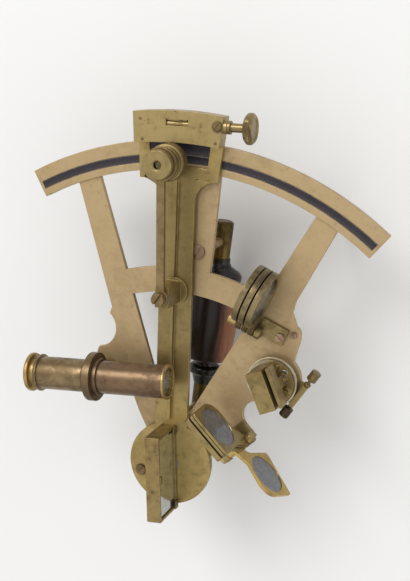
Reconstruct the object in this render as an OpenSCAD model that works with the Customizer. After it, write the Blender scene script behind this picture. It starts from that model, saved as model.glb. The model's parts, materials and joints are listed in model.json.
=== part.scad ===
// Marine sextant with a three-legged brass frame, lying face up on the feet of its back.
// The origin is on the axis of the index arm, at the foot of that axis. +Y runs to the middle of the arc,
// +X to the right seen from the face, and +Z out of the face. Azimuths turn clockwise from +Y. Millimetres.

/* [Frame and arc] */
// Radius from the pivot to the middle of the silver strip
strip_r = 180; // [172:1:188]
// Width of the silver strip
strip_w = 4.6; // [3.5:0.1:5.5]
// Thickness of the silver strip
strip_t = 0.6; // [0.4:0.1:1]
// Width of the limb inside the middle of the strip
limb_inside = 6.5; // [6:0.1:8]
// Width of the limb outside the middle of the strip
limb_outside = 10; // [9:0.1:11]
// Angle from the middle of the arc to either end of the limb
limb_half_angle = 34.2; // [32:0.1:36]
// Bare angle left at either end of the strip
strip_end_angle = 0.6; // [0.3:0.1:2]
// Thickness of the limb
limb_t = 5; // [4.6:0.1:5.6]
// Thickness of the legs, cross-bar and hub
plate_t = 3.5; // [3:0.1:3.8]
// Outer radius of the cross-bar
crossbar_r = 117.5; // [114:0.5:119]
// Width of the cross-bar
crossbar_w = 14.8; // [12:0.1:17]
// Angle from the middle of the arc to the inner edge of either leg at the limb
leg_in_az = 22; // [21.5:0.1:23]
// Angle from the middle of the arc to the outer edge of either leg at the limb
leg_out_az = 26.6; // [26:0.1:28]
// Half the width of the central strut at the cross-bar
strut_half_w = 8.5; // [6.5:0.1:10]
// Half the width of the central strut at the limb
strut_top_half_w = 7.6; // [6.5:0.1:10]
// Radius of the hub
hub_r = 24; // [22:0.5:25]
// Radius of the lug that holds the rising piece of the telescope
lug_r = 11; // [10:0.1:12]
// Radius of the round pad under the horizon mirror
pad_r = 15.5; // [15:0.1:16]
// Radius of the bay between the horizon mirror and the index shades
bay_r = 9.3; // [8:0.1:10]
// Radius of the hollow between the left leg and the telescope lug
waist_r = 12; // [10:0.5:13]

/* [Feet] */
// Length of the feet, from the table to the underside of the frame
foot_l = 58; // [50:1:64]
// Radius of the foot under the pivot
pivot_foot_r = 5.5; // [4.5:0.1:6]
// Radius of the two other feet
foot_r = 4; // [3.5:0.1:4.2]
// Angle of the right foot from the middle of the arc
right_foot_az = 24.4; // [24:0.1:25]
// Distance from the limb in to the right foot
right_foot_inset = 7.5; // [7:0.1:10]
// Radius at which the left foot stands
left_foot_pos_r = 103.8; // [100:0.5:106]
// Angle of the left foot from the middle of the arc
left_foot_az = 25.1; // [24:0.1:26]

/* [Pivot] */
// Radius of the index arm's axle
axle_r = 5; // [4:0.1:5.5]
// Radial clearance of running and locating fits
fit = 0.05; // [0.03:0.01:0.08]
// Free gap between pieces that move past each other
gap = 0.2; // [0.15:0.05:0.3]
// Radius of the bush in the hub
bush_r = 8; // [7.5:0.1:9]
// Radius of the bush flange
bush_flange_r = 13; // [12:0.1:15]
// Thickness of the bush flange
bush_flange_t = 2.5; // [2:0.1:3.5]
// Radius of the axle nut
axle_nut_r = 7.5; // [7:0.1:8]
// Height of the axle nut
axle_nut_h = 5; // [4:0.1:6]
// Wall and floor of the cup over the axle nut
cup_wall = 3; // [2:0.1:3.5]

/* [Handle] */
// Depth of the handle's axis below the underside of the frame
handle_drop = 37; // [34:0.5:38]
// Radius of the wooden grip at its middle
grip_r = 15.9; // [14:0.1:17]
// Radius of the wooden grip at its ends
grip_end_r = 14.2; // [12:0.1:14.5]
// Length of the wooden grip
grip_l = 49.4; // [46:0.1:52]
// Length of the upper black fitting
top_fitting_l = 14; // [13:0.1:16]
// Length of the lower black fitting
low_fitting_l = 16.6; // [15:0.1:17]
// Radius of the neck at either end of the grip
neck_r = 7; // [6.5:0.1:7.5]
// Radius of the bead on the lower fitting
bead_r = 9.8; // [9:0.1:11]
// Radius of the upper brass ferrule
top_ferrule_r = 6.4; // [5.8:0.1:6.8]
// Radius of the lower brass ferrule
low_ferrule_r = 5.6; // [5.3:0.1:6]
// Length of the upper brass ferrule
top_ferrule_l = 22.5; // [20:0.1:24]
// Length of the lower brass ferrule
low_ferrule_l = 20; // [18:0.1:21]
// Radius of the rod through the handle
rod_r = 2.5; // [2:0.1:2.8]
// Radius of the two pillars
pillar_r = 3.2; // [2.9:0.1:3.6]
// Distance from the pivot to the lower pillar
low_pillar_y = 24; // [23:0.1:26]
// Distance from the lower pillar to the lower black fitting
low_pillar_set = 14; // [13:0.1:15]
// Distance from the upper black fitting to the upper pillar
top_pillar_set = 10.4; // [9.4:0.1:12]

/* [Index arm] */
// Angle of the arm at rest, to the left of the middle of the arc
arm_rest_angle = 5.2; // [3:0.1:7]
// Free gap between the limb and the arm
arm_gap = 0.2; // [0.15:0.05:0.4]
// Thickness of the arm
arm_t = 3; // [2.6:0.1:3.4]
// Width of the arm
arm_w = 20; // [18:0.1:21]
// Radius of the disc at the pivot
disc_r = 25.3; // [24.5:0.1:26]
// Width of the rib along the arm
rib_w = 1.8; // [1.4:0.1:2.6]
// Height of the rib along the arm
rib_h = 3; // [2:0.1:3]
// Distance of the rib to the left of the arm's middle
rib_off = 0.7; // [0:0.1:2]
// Half width of the arm's head at its inner end
head_in_w = 23.5; // [23:0.1:24]
// Half width of the arm's head at its outer end
head_out_w = 26.8; // [26.4:0.1:28]
// Set of the head's outer end towards the knob of the tangent screw
head_shift = 1.1; // [0.8:0.1:1.5]
// Width of the head inside the middle of the strip
head_inside = 10; // [9.5:0.5:13]
// Radius of the corners between arm and head
head_fillet = 12; // [11:0.5:12.5]
// Half angle of the window in the head
window_half_angle = 5.5; // [5:0.1:6]
// Width of the window inside the middle of the strip
window_inside = 3.5; // [3:0.1:4.2]
// Width of the window outside the middle of the strip
window_outside = 9.5; // [8.5:0.1:9.7]
// Width of the vernier plate
vernier_w = 6.9; // [6:0.1:7]
// Thickness of the vernier plate
vernier_t = 2.4; // [1.6:0.1:2.6]

/* [Slow motion] */
// Height of the slow-motion box on the head
box_h = 7.3; // [7:0.1:8.5]
// Width of the slow-motion box, outward from the limb
box_w = 17.5; // [16.5:0.1:19]
// Wall of the slow-motion box
box_wall = 1.6; // [1.3:0.1:1.8]
// Distance of the tangent screw outside the limb
tangent_out = 9.9; // [9.6:0.1:11]
// Radius of the tangent screw
tangent_r = 2.5; // [2.1:0.1:2.6]
// Length of the boss on the box wall
tangent_boss = 2.2; // [1.8:0.1:3]
// Bare length of the screw between boss and knob
tangent_neck = 10.4; // [7:0.1:12]
// Radius of the knob of the tangent screw
tangent_knob_r = 8.7; // [7:0.1:9.5]
// Thickness of the knob of the tangent screw
tangent_knob_t = 5; // [4:0.1:6]
// Half the width of the nut on the tangent screw
nut_half_w = 6; // [5:0.1:7]
// Half the width of the clamp behind the limb
clamp_half_w = 9; // [8:0.1:11]
// Thickness of the clamp behind the limb
clamp_t = 3.7; // [3:0.1:4.5]
// Radius of the head of the clamp screw
clamp_knob_r = 8; // [7:0.1:9]

/* [Magnifier] */
// Distance from the pivot to the swivel of the magnifier
swivel_y = 105; // [100:1:108]
// Radius of the swivel foot
swivel_r = 8.2; // [7.5:0.1:9]
// Thickness of the swivel foot
swivel_t = 2; // [1.5:0.1:2.5]
// Height of the swivel post above the arm
post_h = 20.8; // [20:0.1:22]
// Thickness of the magnifier's arm
loupe_arm_t = 2.85; // [2.4:0.1:3.2]
// Width of the magnifier's arm
loupe_arm_w = 4.5; // [4:0.1:6.5]
// Distance of the magnifier to the left of the arm's middle
loupe_off = 1.9; // [0:0.1:3]
// Distance of the magnifier inside the middle of the strip
loupe_in = 0.5; // [0:0.1:1]
// Radius of the magnifier's barrel in its ring
barrel_r = 8; // [7.6:0.1:8.3]
// Radius of the rear ring of the magnifier
barrel_foot_r = 10.6; // [10:0.1:11]
// Radius of the eye hole of the magnifier
eye_hole_r = 2; // [1.5:0.1:3]

/* [Telescope] */
// Height of the line of sight above the limb
sight_h = 19; // [18.5:0.1:20]
// Angle of the telescope from +X towards +Y
scope_angle = 8.86; // [8:0.1:10]
// Distance from the horizon mirror to the collar
scope_dist = 102.9; // [101:0.1:104]
// Outer radius of the telescope's tubes
tube_r = 9.6; // [9.2:0.1:9.8]
// Wall of the telescope's tubes
tube_wall = 0.9; // [0.7:0.1:1.1]
// Length of the main tube, from collar to objective
main_l = 45; // [42:0.5:46]
// Length of the draw tube
draw_l = 31; // [29:0.5:32]
// Outer radius of the collar
collar_r = 14.2; // [13.8:0.1:14.6]
// Thickness of the collar
collar_t = 4.5; // [4:0.1:5]
// Radius of the adapter ring
adapter_r = 11; // [10.9:0.1:11.4]
// Length of the adapter ring outside the collar
adapter_l = 2.6; // [2:0.1:3.5]
// Radius of the objective's rim
rim_r = 10.2; // [10:0.1:10.6]
// Radius of the eye cup
cup_r = 11.4; // [11:0.1:11.8]
// Thickness of the eye cup's flange
cup_t = 2.5; // [2:0.1:3]
// Radius of the stem below the collar
stem_r = 4; // [3.6:0.1:4.4]
// Radius of the guide below the frame
guide_r = 8; // [7:0.1:9]
// Length of the guide below the frame
guide_l = 19; // [18:0.1:21]
// Radius of the rising screw's knob
rising_knob_r = 8; // [7:0.1:9]

/* [Index mirror] */
// Length of the index mirror's frame
mirror_l = 51; // [48:0.5:52]
// Thickness of the index mirror's frame
mirror_t = 8.6; // [7.8:0.1:9]
// Height of the index mirror's frame
mirror_h = 26.8; // [25:0.1:28]
// Distance of the mirror's middle behind the pivot
mirror_back = 1.5; // [0:0.1:2]
// Angle of the mirror to the left of the arm's line
mirror_skew_angle = -3.5; // [-5:0.1:0]
// Wall of the mirror frames
mirror_wall = 1.7; // [1.2:0.1:2]
// Thickness of the mirror glasses
glass_t = 3; // [2.4:0.1:3.2]
// Depth of the glass behind the rim of its frame
glass_recess = 1; // [0.5:0.1:1.4]

/* [Horizon mirror] */
// Place of the horizon mirror to the right of the pivot
horizon_x = 54.8; // [54:0.1:56]
// Place of the horizon mirror ahead of the pivot
horizon_y = 63.9; // [63:0.1:65]
// Radius of the turning base
base_r = 11.5; // [10.5:0.1:11.7]
// Radius of the rim of the turning base
base_rim_r = 14.7; // [14:0.1:15]
// Height of the turning base above the limb
base_h = 5; // [4.6:0.1:6]
// Thickness of the rim of the turning base
base_rim_t = 2; // [1.5:0.1:2.1]
// Length of the horizon mirror's frame
horizon_l = 23.4; // [22:0.1:24]
// Thickness of the horizon mirror's frame
horizon_t = 9.8; // [9:0.1:10.5]
// Height of the horizon mirror's frame
horizon_h = 21.5; // [20:0.1:23]
// Slit between frame and back plate
slit_w = 1.7; // [1.2:0.1:2.2]
// Thickness of the back plate
back_t = 2; // [1.6:0.1:2.4]
// Distance of the adjusting screws from the mirror's axis
spindle_off = 16.5; // [16.5:0.1:17.5]
// Radius of the capstan heads
capstan_r = 2.9; // [2.3:0.1:2.9]
// Length of the capstan heads
capstan_l = 6; // [5:0.1:6]

/* [Index shades] */
// Width of the index shades
shade_w = 29.6; // [27:0.1:30]
// Height of the index shades
shade_h = 27; // [25:0.1:28]
// Radius of the glass in the index shades
shade_glass_r = 12.2; // [11:0.1:12.3]
// Distance of the shades' pin to the right of the beam
shade_pin_u = 18.4; // [18:0.1:19]
// Height of the shades' pin above the limb
shade_pin_h = 4.8; // [4.6:0.1:5.5]
// Radius of the pins of the shades
pin_r = 1.5; // [1.2:0.1:1.7]
// Radius of the shades' knuckles
knuckle_r = 3.1; // [2.7:0.1:3.2]
// Angle by which the first shade is turned out at rest
shade_out_angle = 157.3; // [150:0.1:160]

/* [Horizon shades] */
// Outer radius of the horizon shades
round_r = 17; // [15.5:0.1:17.2]
// Radius of the glass in the horizon shades
round_glass_r = 13.9; // [12:0.1:14.5]
// Thickness of the horizon shades
round_t = 3.2; // [2.6:0.1:3.3]
// Distance from the pin to the middle of a horizon shade
round_reach = 25.7; // [25:0.1:27]
// Angle at which the horizon shades stand up at rest
round_rise_angle = 29; // [28:0.1:33]
// Direction of the pin, as an azimuth
round_az = 107.5; // [106:0.1:109]

/* [Hidden] */
$fn = 72;

// Colours
brass = [0.66, 0.57, 0.38];
olive = [0.58, 0.51, 0.33];
rosy_brass = [0.56, 0.46, 0.35];
bright_brass = [0.80, 0.68, 0.42];
silver = [0.30, 0.27, 0.30];
steel = [0.62, 0.62, 0.60];
black = [0.10, 0.09, 0.08];
mahogany = [0.36, 0.16, 0.10];
mirror_tint = [0.62, 0.66, 0.70];
clear_tint = [0.75, 0.82, 0.85];
brown_tint = [0.26, 0.20, 0.16];
grey_tint = [0.42, 0.44, 0.46];

// Levels
face_z = foot_l + limb_t;
plate_top = foot_l + plate_t;
arm_z = face_z + arm_gap;
arm_top = arm_z + arm_t;
sight_z = face_z + sight_h;
handle_z = foot_l - handle_drop;

// Places along the handle, from the lower pillar to the upper one
low_fitting_end = low_pillar_y + low_pillar_set;
grip_y = low_fitting_end + low_fitting_l;
grip_top = grip_y + grip_l;
top_fitting_end = grip_top + top_fitting_l;
top_pillar_y = top_fitting_end + top_pillar_set;

// Radii and angles of the limb and the legs
limb_in_r = strip_r - limb_inside;
limb_out_r = strip_r + limb_outside;
strip_half_angle = limb_half_angle - strip_end_angle;
// The clearance of a fit at the limb, as an angle
fit_angle = 0.02;
leg_top_r = limb_in_r + limb_inside / 2;
crossbar_in_r = crossbar_r - crossbar_w;
strut_bend = 14;
strut_bend_y = crossbar_r + strut_bend;
// Where the inner edges of the legs reach the hub
left_leg_root = [-8.6, 30];
right_leg_root = [6.2, 30.5];
// Corners of the legs' outer edges: the left one's waist and hip, and the right one's beside the shades
left_waist = [-49.3, 85.5];
left_hip = [[-29.3, 34.1], [-25, 26], [-18, 15]];
right_hip = [[66.4, 90], [59.4, 104], [60.4, 111]];

// Fixing screws of the brackets and the feet
foot_pin_r = 1.6;
foot_pin_l = 2.5;
small_shank_r = 1.1;
small_shank_l = 2.6;

// Line of sight from index mirror to horizon mirror to telescope
horizon = [horizon_x, horizon_y];
beam_az = atan2(horizon_x, horizon_y);
collar = [horizon_x - scope_dist * cos(scope_angle), horizon_y - scope_dist * sin(scope_angle)];
// The horizon mirror's normal halves the angle between the beam and the telescope
horizon_angle = (scope_angle + 90 - beam_az) / 2;

// Point at radius r on azimuth az
function polar(r, az) = [r * sin(az), r * cos(az)];

// Puts children at radius r on azimuth az, turned with it
module at_polar(r, az) {
    rotate([0, 0, -az]) translate([0, r, 0]) children();
}

// Lays children drawn along +Z down along +Y
module along_y() {
    rotate([-90, 0, 0]) children();
}

// Lays children drawn along +Z down along +X
module along_x() {
    rotate([0, 90, 0]) children();
}

// Part of a ring about the pivot, centred on +Y
module sector(r_in, r_out, half, h) {
    rotate([0, 0, 90 - half])
        rotate_extrude(angle = 2 * half, $fn = 180)
            translate([r_in, 0]) square([r_out - r_in, h]);
}

// Ring of height h
module ring(r_out, r_in, h) {
    difference() {
        cylinder(h = h, r = r_out);
        translate([0, 0, -1]) cylinder(h = h + 2, r = r_in);
    }
}

// Slotted screw, its head standing on z = 0 and its shank below
module slot_screw(head_r, head_t, shank_r, shank_l, turn = 0) {
    slot_w = head_r * 0.28;
    difference() {
        cylinder(h = head_t, r = head_r);
        rotate([0, 0, turn])
            translate([-head_r - 1, -slot_w / 2, head_t / 2]) cube([2 * head_r + 2, slot_w, head_t]);
    }
    translate([0, 0, -shank_l]) cylinder(h = shank_l, r = shank_r);
}

// Knob with a shallow dish in its face, standing on z = 0
module dished_knob(r, t) {
    rim = r * 0.16;
    dish = t * 0.12;
    rotate_extrude()
        polygon([[0, 0], [r - rim, 0], [r, rim], [r, t - rim], [r - rim, t], [r - 2 * rim, t],
            [r - 2.4 * rim, t - dish], [0, t - dish]]);
}

// Frame

// Shade-pin axis and beam as a local frame: +Y along the beam, +X to its right
shade_az = beam_az - 1.1;
// Extent of the pad under the index shades along and across the beam
shade_pad_n = 52;
shade_pad_u = 19.2;
// The pad is narrower next to the hub, and its outer corner is round
shade_pad_in_u = 12.5;
shade_pad_from = 29.5;
shade_pad_round = 3;
// Middle of the bay, along and across the beam
bay_n = 61.2;
bay_u = 12;

// Fixing screws of the two brackets: along and across the beam, or along and across the pin
index_bracket_screws = [[11.5, 37], [11.5, 46]];
round_bracket_screws = [[-2.8, 25.8, 2.6]];
// Screw of the frame's tab beside that bracket
tab_screw = [-7.15, 32, 2];

// Middle of the hollow in the left leg, from the collar
waist_at = [-10.3, 23.4];

// Middle of the horizon shades' pin
round_pin = [29.4, 94.5];

module index_shade_place() {
    rotate([0, 0, -shade_az]) translate([0, 0, face_z]) children();
}

module round_shade_place() {
    translate([round_pin[0], round_pin[1], face_z]) rotate([0, 0, -round_az]) children();
}

module horizon_place(turn) {
    translate([horizon_x, horizon_y, face_z]) rotate([0, 0, turn]) children();
}

// Puts children at each of the two brackets' screws, on the plane dz above the limb
module at_index_bracket_screws(dz) {
    index_shade_place()
        for (p = index_bracket_screws) translate([p[0], p[1], dz]) children();
}

module at_round_bracket_screws(dz) {
    round_shade_place()
        for (p = round_bracket_screws) translate([p[0], p[1], dz]) children();
}

module at_tab_screw(dz) {
    round_shade_place() translate([tab_screw[0], tab_screw[1], dz]) children();
}

module at_feet() {
    for (p = [polar(limb_in_r - right_foot_inset, right_foot_az), polar(left_foot_pos_r, -left_foot_az)])
        translate([p[0], p[1], 0]) children();
}

module frame_outline() {
    difference() {
        union() {
            circle(r = hub_r);
            // Left leg, from the limb to the hub
            polygon([polar(leg_top_r, -leg_in_az), polar(leg_top_r, -leg_out_az), left_waist,
                [collar[0] - lug_r + 1.4, collar[1] + 4], collar, [collar[0] + 4, collar[1] - lug_r + 0.6],
                each left_hip, [0, 0], left_leg_root]);
            // Right leg, from the limb to the hub, carrying the horizon mirror's pad
            polygon([polar(leg_top_r, leg_in_az), right_leg_root, [0, 0],
                polar(shade_pad_n, shade_az + 14), horizon, [horizon_x + 9.5, horizon_y + 12],
                each right_hip, polar(leg_top_r, leg_out_az)]);
            // Pad of the index shades
            rotate([0, 0, -shade_az])
                difference() {
                    polygon([[-6, 0], [shade_pad_in_u, 0], [shade_pad_in_u, shade_pad_from],
                        [shade_pad_u, shade_pad_from], [shade_pad_u, shade_pad_n], [-6, shade_pad_n]]);
                    translate([shade_pad_u, shade_pad_n]) rotate(180) corner_waste(shade_pad_round);
                }
            // Cross-bar
            intersection() {
                difference() {
                    circle(r = crossbar_r, $fn = 180);
                    circle(r = crossbar_in_r, $fn = 180);
                }
                polygon([[0, 0], polar(2 * crossbar_r, -leg_in_az - 1),
                    polar(2 * crossbar_r, leg_in_az + 1)]);
            }
            // Strut
            polygon([[-strut_half_w, crossbar_r - 4], [-strut_half_w, strut_bend_y],
                [-strut_top_half_w, leg_top_r], [strut_top_half_w, leg_top_r],
                [strut_half_w, strut_bend_y], [strut_half_w, crossbar_r - 4]]);
            translate(collar) circle(r = lug_r);
            translate(horizon) circle(r = pad_r);
            translate(round_pin) rotate(-round_az) translate([tab_screw[0], tab_screw[1] - 1]) circle(r = 5);
        }
        rotate([0, 0, -shade_az]) translate([bay_u, bay_n]) circle(r = bay_r);
        translate(collar + waist_at) circle(r = waist_r);
    }
}

module frame() {
    color(brass)
        difference() {
            union() {
                translate([0, 0, foot_l]) linear_extrude(plate_t) frame_outline();
                translate([0, 0, foot_l]) sector(limb_in_r, limb_out_r, limb_half_angle, limb_t);
            }
            // Groove for the silver strip
            translate([0, 0, face_z - strip_t])
                sector(strip_r - strip_w / 2 - fit, strip_r + strip_w / 2 + fit,
                    strip_half_angle + fit_angle, strip_t + 1);
            // Bores for the bush, the rising guide and the horizon mirror
            translate([0, 0, foot_l - 1]) cylinder(h = limb_t + 2, r = bush_r + fit);
            translate([collar[0], collar[1], foot_l - 1]) cylinder(h = limb_t + 2, r = guide_spigot_r + fit);
            translate([horizon_x, horizon_y, foot_l - 1]) cylinder(h = limb_t + 2, r = base_stem_r + fit);
            // Holes for the screws of the pillars
            translate([0, top_pillar_y, foot_l - 1]) cylinder(h = limb_t + 2, r = pillar_screw_r + fit);
            translate([0, low_pillar_y, foot_l - 1]) cylinder(h = limb_t + 2, r = pillar_screw_r + fit);
            translate([0, low_pillar_y, plate_top - flush_head_t - fit])
                cylinder(h = limb_t, r = flush_head_r + fit);
            // Holes for the pins of the feet and for the bracket screws
            at_feet() translate([0, 0, foot_l - 1]) cylinder(h = foot_pin_l + 1 + fit, r = foot_pin_r + fit);
            at_index_bracket_screws(-small_shank_l - 1)
                cylinder(h = small_shank_l + 2, r = small_shank_r + fit);
            at_round_bracket_screws(-small_shank_l - 1)
                cylinder(h = small_shank_l + 2, r = small_shank_r + fit);
            at_tab_screw(-small_shank_l - 1) cylinder(h = small_shank_l + 2, r = small_shank_r + fit);
        }
}

module arc_scale() {
    color(silver)
        translate([0, 0, face_z - strip_t])
            sector(strip_r - strip_w / 2, strip_r + strip_w / 2, strip_half_angle, strip_t);
}

// Pivot

axle_end = foot_l - bush_flange_t - gap - axle_nut_h - 1.3;

module pivot_bush() {
    color(bright_brass)
        difference() {
            union() {
                translate([0, 0, foot_l - bush_flange_t]) cylinder(h = bush_flange_t, r = bush_flange_r);
                translate([0, 0, foot_l - bush_flange_t])
                    cylinder(h = bush_flange_t + limb_t, r = bush_r);
            }
            translate([0, 0, foot_l - bush_flange_t - 1])
                cylinder(h = bush_flange_t + limb_t + 2, r = axle_r + fit);
        }
}

// The axle and its nut are two solids
module pivot_axle() {
    color(steel) {
        translate([0, 0, axle_end]) cylinder(h = arm_top - axle_end, r = axle_r);
        translate([0, 0, foot_l - bush_flange_t - gap - axle_nut_h])
            ring(axle_nut_r, axle_r + fit, axle_nut_h);
    }
}

module pivot_foot() {
    cup_in_r = axle_nut_r + 1.5;
    cup_out_r = cup_in_r + cup_wall;
    cup_top = foot_l - bush_flange_t;
    cup_floor = axle_end - 1;
    stem_top = cup_floor - cup_wall;
    color(brass)
        rotate_extrude()
            polygon([[0, 0], [pivot_foot_r, 0], [pivot_foot_r, 5], [pivot_foot_r - 1, 7],
                [pivot_foot_r - 1, stem_top - 3], [pivot_foot_r, stem_top], [cup_out_r - 1, stem_top],
                [cup_out_r, stem_top + 1], [cup_out_r, cup_top], [cup_in_r, cup_top], [cup_in_r, cup_floor],
                [0, cup_floor]]);
}

// Feet on the right and the left leg
module frame_feet() {
    color(brass)
        at_feet()
            rotate_extrude()
                polygon([[0, 0], [foot_r, 0], [foot_r, 5], [foot_r - 1, 7], [foot_r - 1, foot_l - 8],
                    [foot_r, foot_l - 4], [foot_r, foot_l], [foot_pin_r, foot_l],
                    [foot_pin_r, foot_l + foot_pin_l], [0, foot_l + foot_pin_l]]);
}

// Screws in the frame
pillar_screw_r = 1.6;
pillar_screw_l = 8;
pillar_head_r = 4;
pillar_head_t = 1.7;
flush_head_r = 3;
flush_head_t = 1.4;

module frame_screws() {
    color(bright_brass) {
        translate([0, top_pillar_y, plate_top])
            slot_screw(pillar_head_r, pillar_head_t, pillar_screw_r, plate_t + pillar_screw_l, turn = 60);
        translate([0, low_pillar_y, plate_top - flush_head_t])
            slot_screw(flush_head_r, flush_head_t, pillar_screw_r,
                plate_t + pillar_screw_l - flush_head_t, turn = 30);
        at_index_bracket_screws(index_plate_z + index_plate_t)
            slot_screw(2, 1, small_shank_r, index_plate_t + small_shank_l - 0.5, turn = 20);
        round_shade_place()
            for (p = round_bracket_screws)
                translate([p[0], p[1], round_plate_z + round_plate_t])
                    slot_screw(p[2], 1.2, small_shank_r, round_plate_t + small_shank_l - 0.5, turn = 70);
        at_tab_screw(round_plate_z)
            slot_screw(tab_screw[2], 1.2, small_shank_r, small_shank_l - 0.6, turn = 40);
    }
}

// Handle

// The rod ends short of the pillars
rod_end_free = 1.2;
rod_end_top = top_pillar_y - pillar_r - rod_end_free;
rod_end_low = low_pillar_y + pillar_r + rod_end_free;

// Puts children drawn along +Z on the handle's axis, from y onward
module handle_place(y) {
    translate([0, y, handle_z]) along_y() children();
}

module handle_pillars() {
    color(brass)
        for (y = [top_pillar_y, low_pillar_y])
            translate([0, y, handle_z])
                difference() {
                    cylinder(h = handle_drop, r = pillar_r);
                    translate([0, 0, handle_drop - pillar_screw_l - 1])
                        cylinder(h = pillar_screw_l + 2, r = pillar_screw_r + fit);
                }
}

module handle_ferrules() {
    color(bright_brass)
        difference() {
            union() {
                handle_place(top_fitting_end)
                    rotate_extrude()
                        polygon([[0, 0], [top_ferrule_r, 0], [top_ferrule_r, top_ferrule_l - 1],
                            [top_ferrule_r - 1, top_ferrule_l], [0, top_ferrule_l]]);
                handle_place(low_fitting_end - low_ferrule_l)
                    rotate_extrude()
                        polygon([[0, 0], [low_ferrule_r - 1, 0], [low_ferrule_r, 1],
                            [low_ferrule_r, low_ferrule_l], [0, low_ferrule_l]]);
            }
            for (y = [top_pillar_y, low_pillar_y])
                translate([0, y, handle_z]) cylinder(h = handle_drop, r = pillar_r + fit);
            handle_place(rod_end_low - fit)
                cylinder(h = rod_end_top - rod_end_low + 2 * fit, r = rod_r + fit);
        }
}

module handle_rod() {
    color(steel) handle_place(rod_end_low) cylinder(h = rod_end_top - rod_end_low, r = rod_r);
}

module handle_grip() {
    mid = (grip_r + grip_end_r) / 2;
    color(mahogany)
        handle_place(grip_y)
            difference() {
                rotate_extrude()
                    polygon([[0, 0], [grip_end_r - 1, 0], [grip_end_r, 1], [mid + 0.3, grip_l * 0.2],
                        [grip_r, grip_l * 0.4], [grip_r, grip_l * 0.6], [mid + 0.3, grip_l * 0.8],
                        [grip_end_r, grip_l - 1], [grip_end_r - 1, grip_l], [0, grip_l]]);
                translate([0, 0, -1]) cylinder(h = grip_l + 2, r = rod_r + fit);
            }
}

// The two black fittings at the ends of the grip
module handle_fittings() {
    color(black)
        difference() {
            union() {
                handle_place(grip_top)
                    rotate_extrude()
                        polygon([[0, 0], [grip_end_r, 0], [grip_end_r + 1, 1], [grip_end_r + 1, 3.5],
                            [grip_end_r - 0.5, 5.5], [neck_r + 1.6, top_fitting_l * 0.6],
                            [neck_r, top_fitting_l * 0.8], [neck_r, top_fitting_l], [0, top_fitting_l]]);
                handle_place(low_fitting_end)
                    rotate_extrude()
                        polygon([[0, 0], [neck_r - 1, 0], [neck_r + 0.6, low_fitting_l * 0.34],
                            [bead_r - 1, low_fitting_l * 0.38], [bead_r, low_fitting_l * 0.45],
                            [bead_r, low_fitting_l * 0.62], [bead_r - 1, low_fitting_l * 0.69],
                            [neck_r, low_fitting_l * 0.74], [neck_r, low_fitting_l], [0, low_fitting_l]]);
            }
            handle_place(grip_top - 1) cylinder(h = top_fitting_l + 2, r = rod_r + fit);
            handle_place(low_fitting_end - 1) cylinder(h = low_fitting_l + 2, r = rod_r + fit);
        }
}

// Index arm

box_in_r = limb_out_r;
box_out_r = box_in_r + box_w;
head_in_r = strip_r - head_inside;
head_bottom = sqrt(head_in_r * head_in_r - head_in_w * head_in_w);
tangent_y = limb_out_r + tangent_out;
tangent_z = arm_top + box_h / 2;
// Slot in the head for the neck of the clamp
neck_half_w = 4;
neck_y = limb_out_r + 7;
neck_d = 6;
neck_free = 3;
slot_free = 1;
// Screws on the disc and on the slow-motion box
disc_screw = [-18.1, -7];
box_screw = [24.5, 10.4];
box_screw_l = 0.8;

// Arm's own frame: +Y along the arm, at rest to the left of the middle of the arc
module arm_place() {
    rotate([0, 0, arm_rest_angle]) children();
}

// Part of the head between two radii, its sides set in
module head_slab(r_in, r_out, set, h) {
    intersection() {
        sector(r_in, r_out, limb_half_angle / 3, h);
        linear_extrude(h)
            polygon([[set - head_in_w, 0], [head_in_w - set, 0], [head_in_w - set, head_in_r],
                [head_shift + head_out_w - set, box_out_r], [head_shift - head_out_w + set, box_out_r],
                [set - head_in_w, head_in_r]]);
    }
}

module index_arm() {
    corner = head_fillet + arm_w / 2;
    color(olive)
        arm_place()
            difference() {
                union() {
                    translate([0, 0, arm_z]) cylinder(h = arm_t, r = disc_r);
                    translate([-arm_w / 2, 0, arm_z]) cube([arm_w, head_in_r + 4, arm_t]);
                    translate([0, 0, arm_z]) head_slab(head_in_r, box_out_r, 0, arm_t);
                    // Corners between arm and head
                    difference() {
                        translate([-corner, head_bottom - head_fillet, arm_z])
                            cube([2 * corner, head_fillet + 1, arm_t]);
                        for (side = [-1, 1])
                            translate([side * corner, head_bottom - head_fillet, arm_z - 1])
                                cylinder(h = arm_t + 2, r = head_fillet);
                    }
                    // Rib, left out round the swivel
                    difference() {
                        translate([-rib_off - rib_w / 2, disc_r + 2.5, arm_top - 0.5])
                            cube([rib_w, strip_r - window_inside - disc_r - 4.5, rib_h + 0.5]);
                        translate([0, swivel_y, arm_top])
                            cylinder(h = rib_h + 1, r = swivel_r + gap);
                    }
                }
                translate([0, 0, arm_z - 1]) cylinder(h = arm_t + 2, r = axle_r + fit);
                // Window for the scale and slot for the clamp
                translate([0, 0, arm_z - 1])
                    sector(strip_r - window_inside, strip_r + window_outside, window_half_angle,
                        arm_t + rib_h + 2);
                translate([-neck_half_w - neck_free, neck_y - slot_free, arm_z - 1])
                    cube([2 * (neck_half_w + neck_free), neck_d + 2 * slot_free, arm_t + 2]);
                // Screw holes
                translate([disc_screw[0], disc_screw[1], arm_z - 1])
                    cylinder(h = arm_t + 2, r = small_shank_r + fit);
                translate([0, swivel_y, arm_z - 1]) cylinder(h = arm_t + 2, r = post_pin_r + fit);
            }
}

module vernier() {
    outer = strip_r + window_outside - fit;
    color(silver)
        arm_place()
            translate([0, 0, arm_z])
                sector(outer - vernier_w, outer, window_half_angle - 3 * fit_angle, vernier_t);
}

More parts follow.
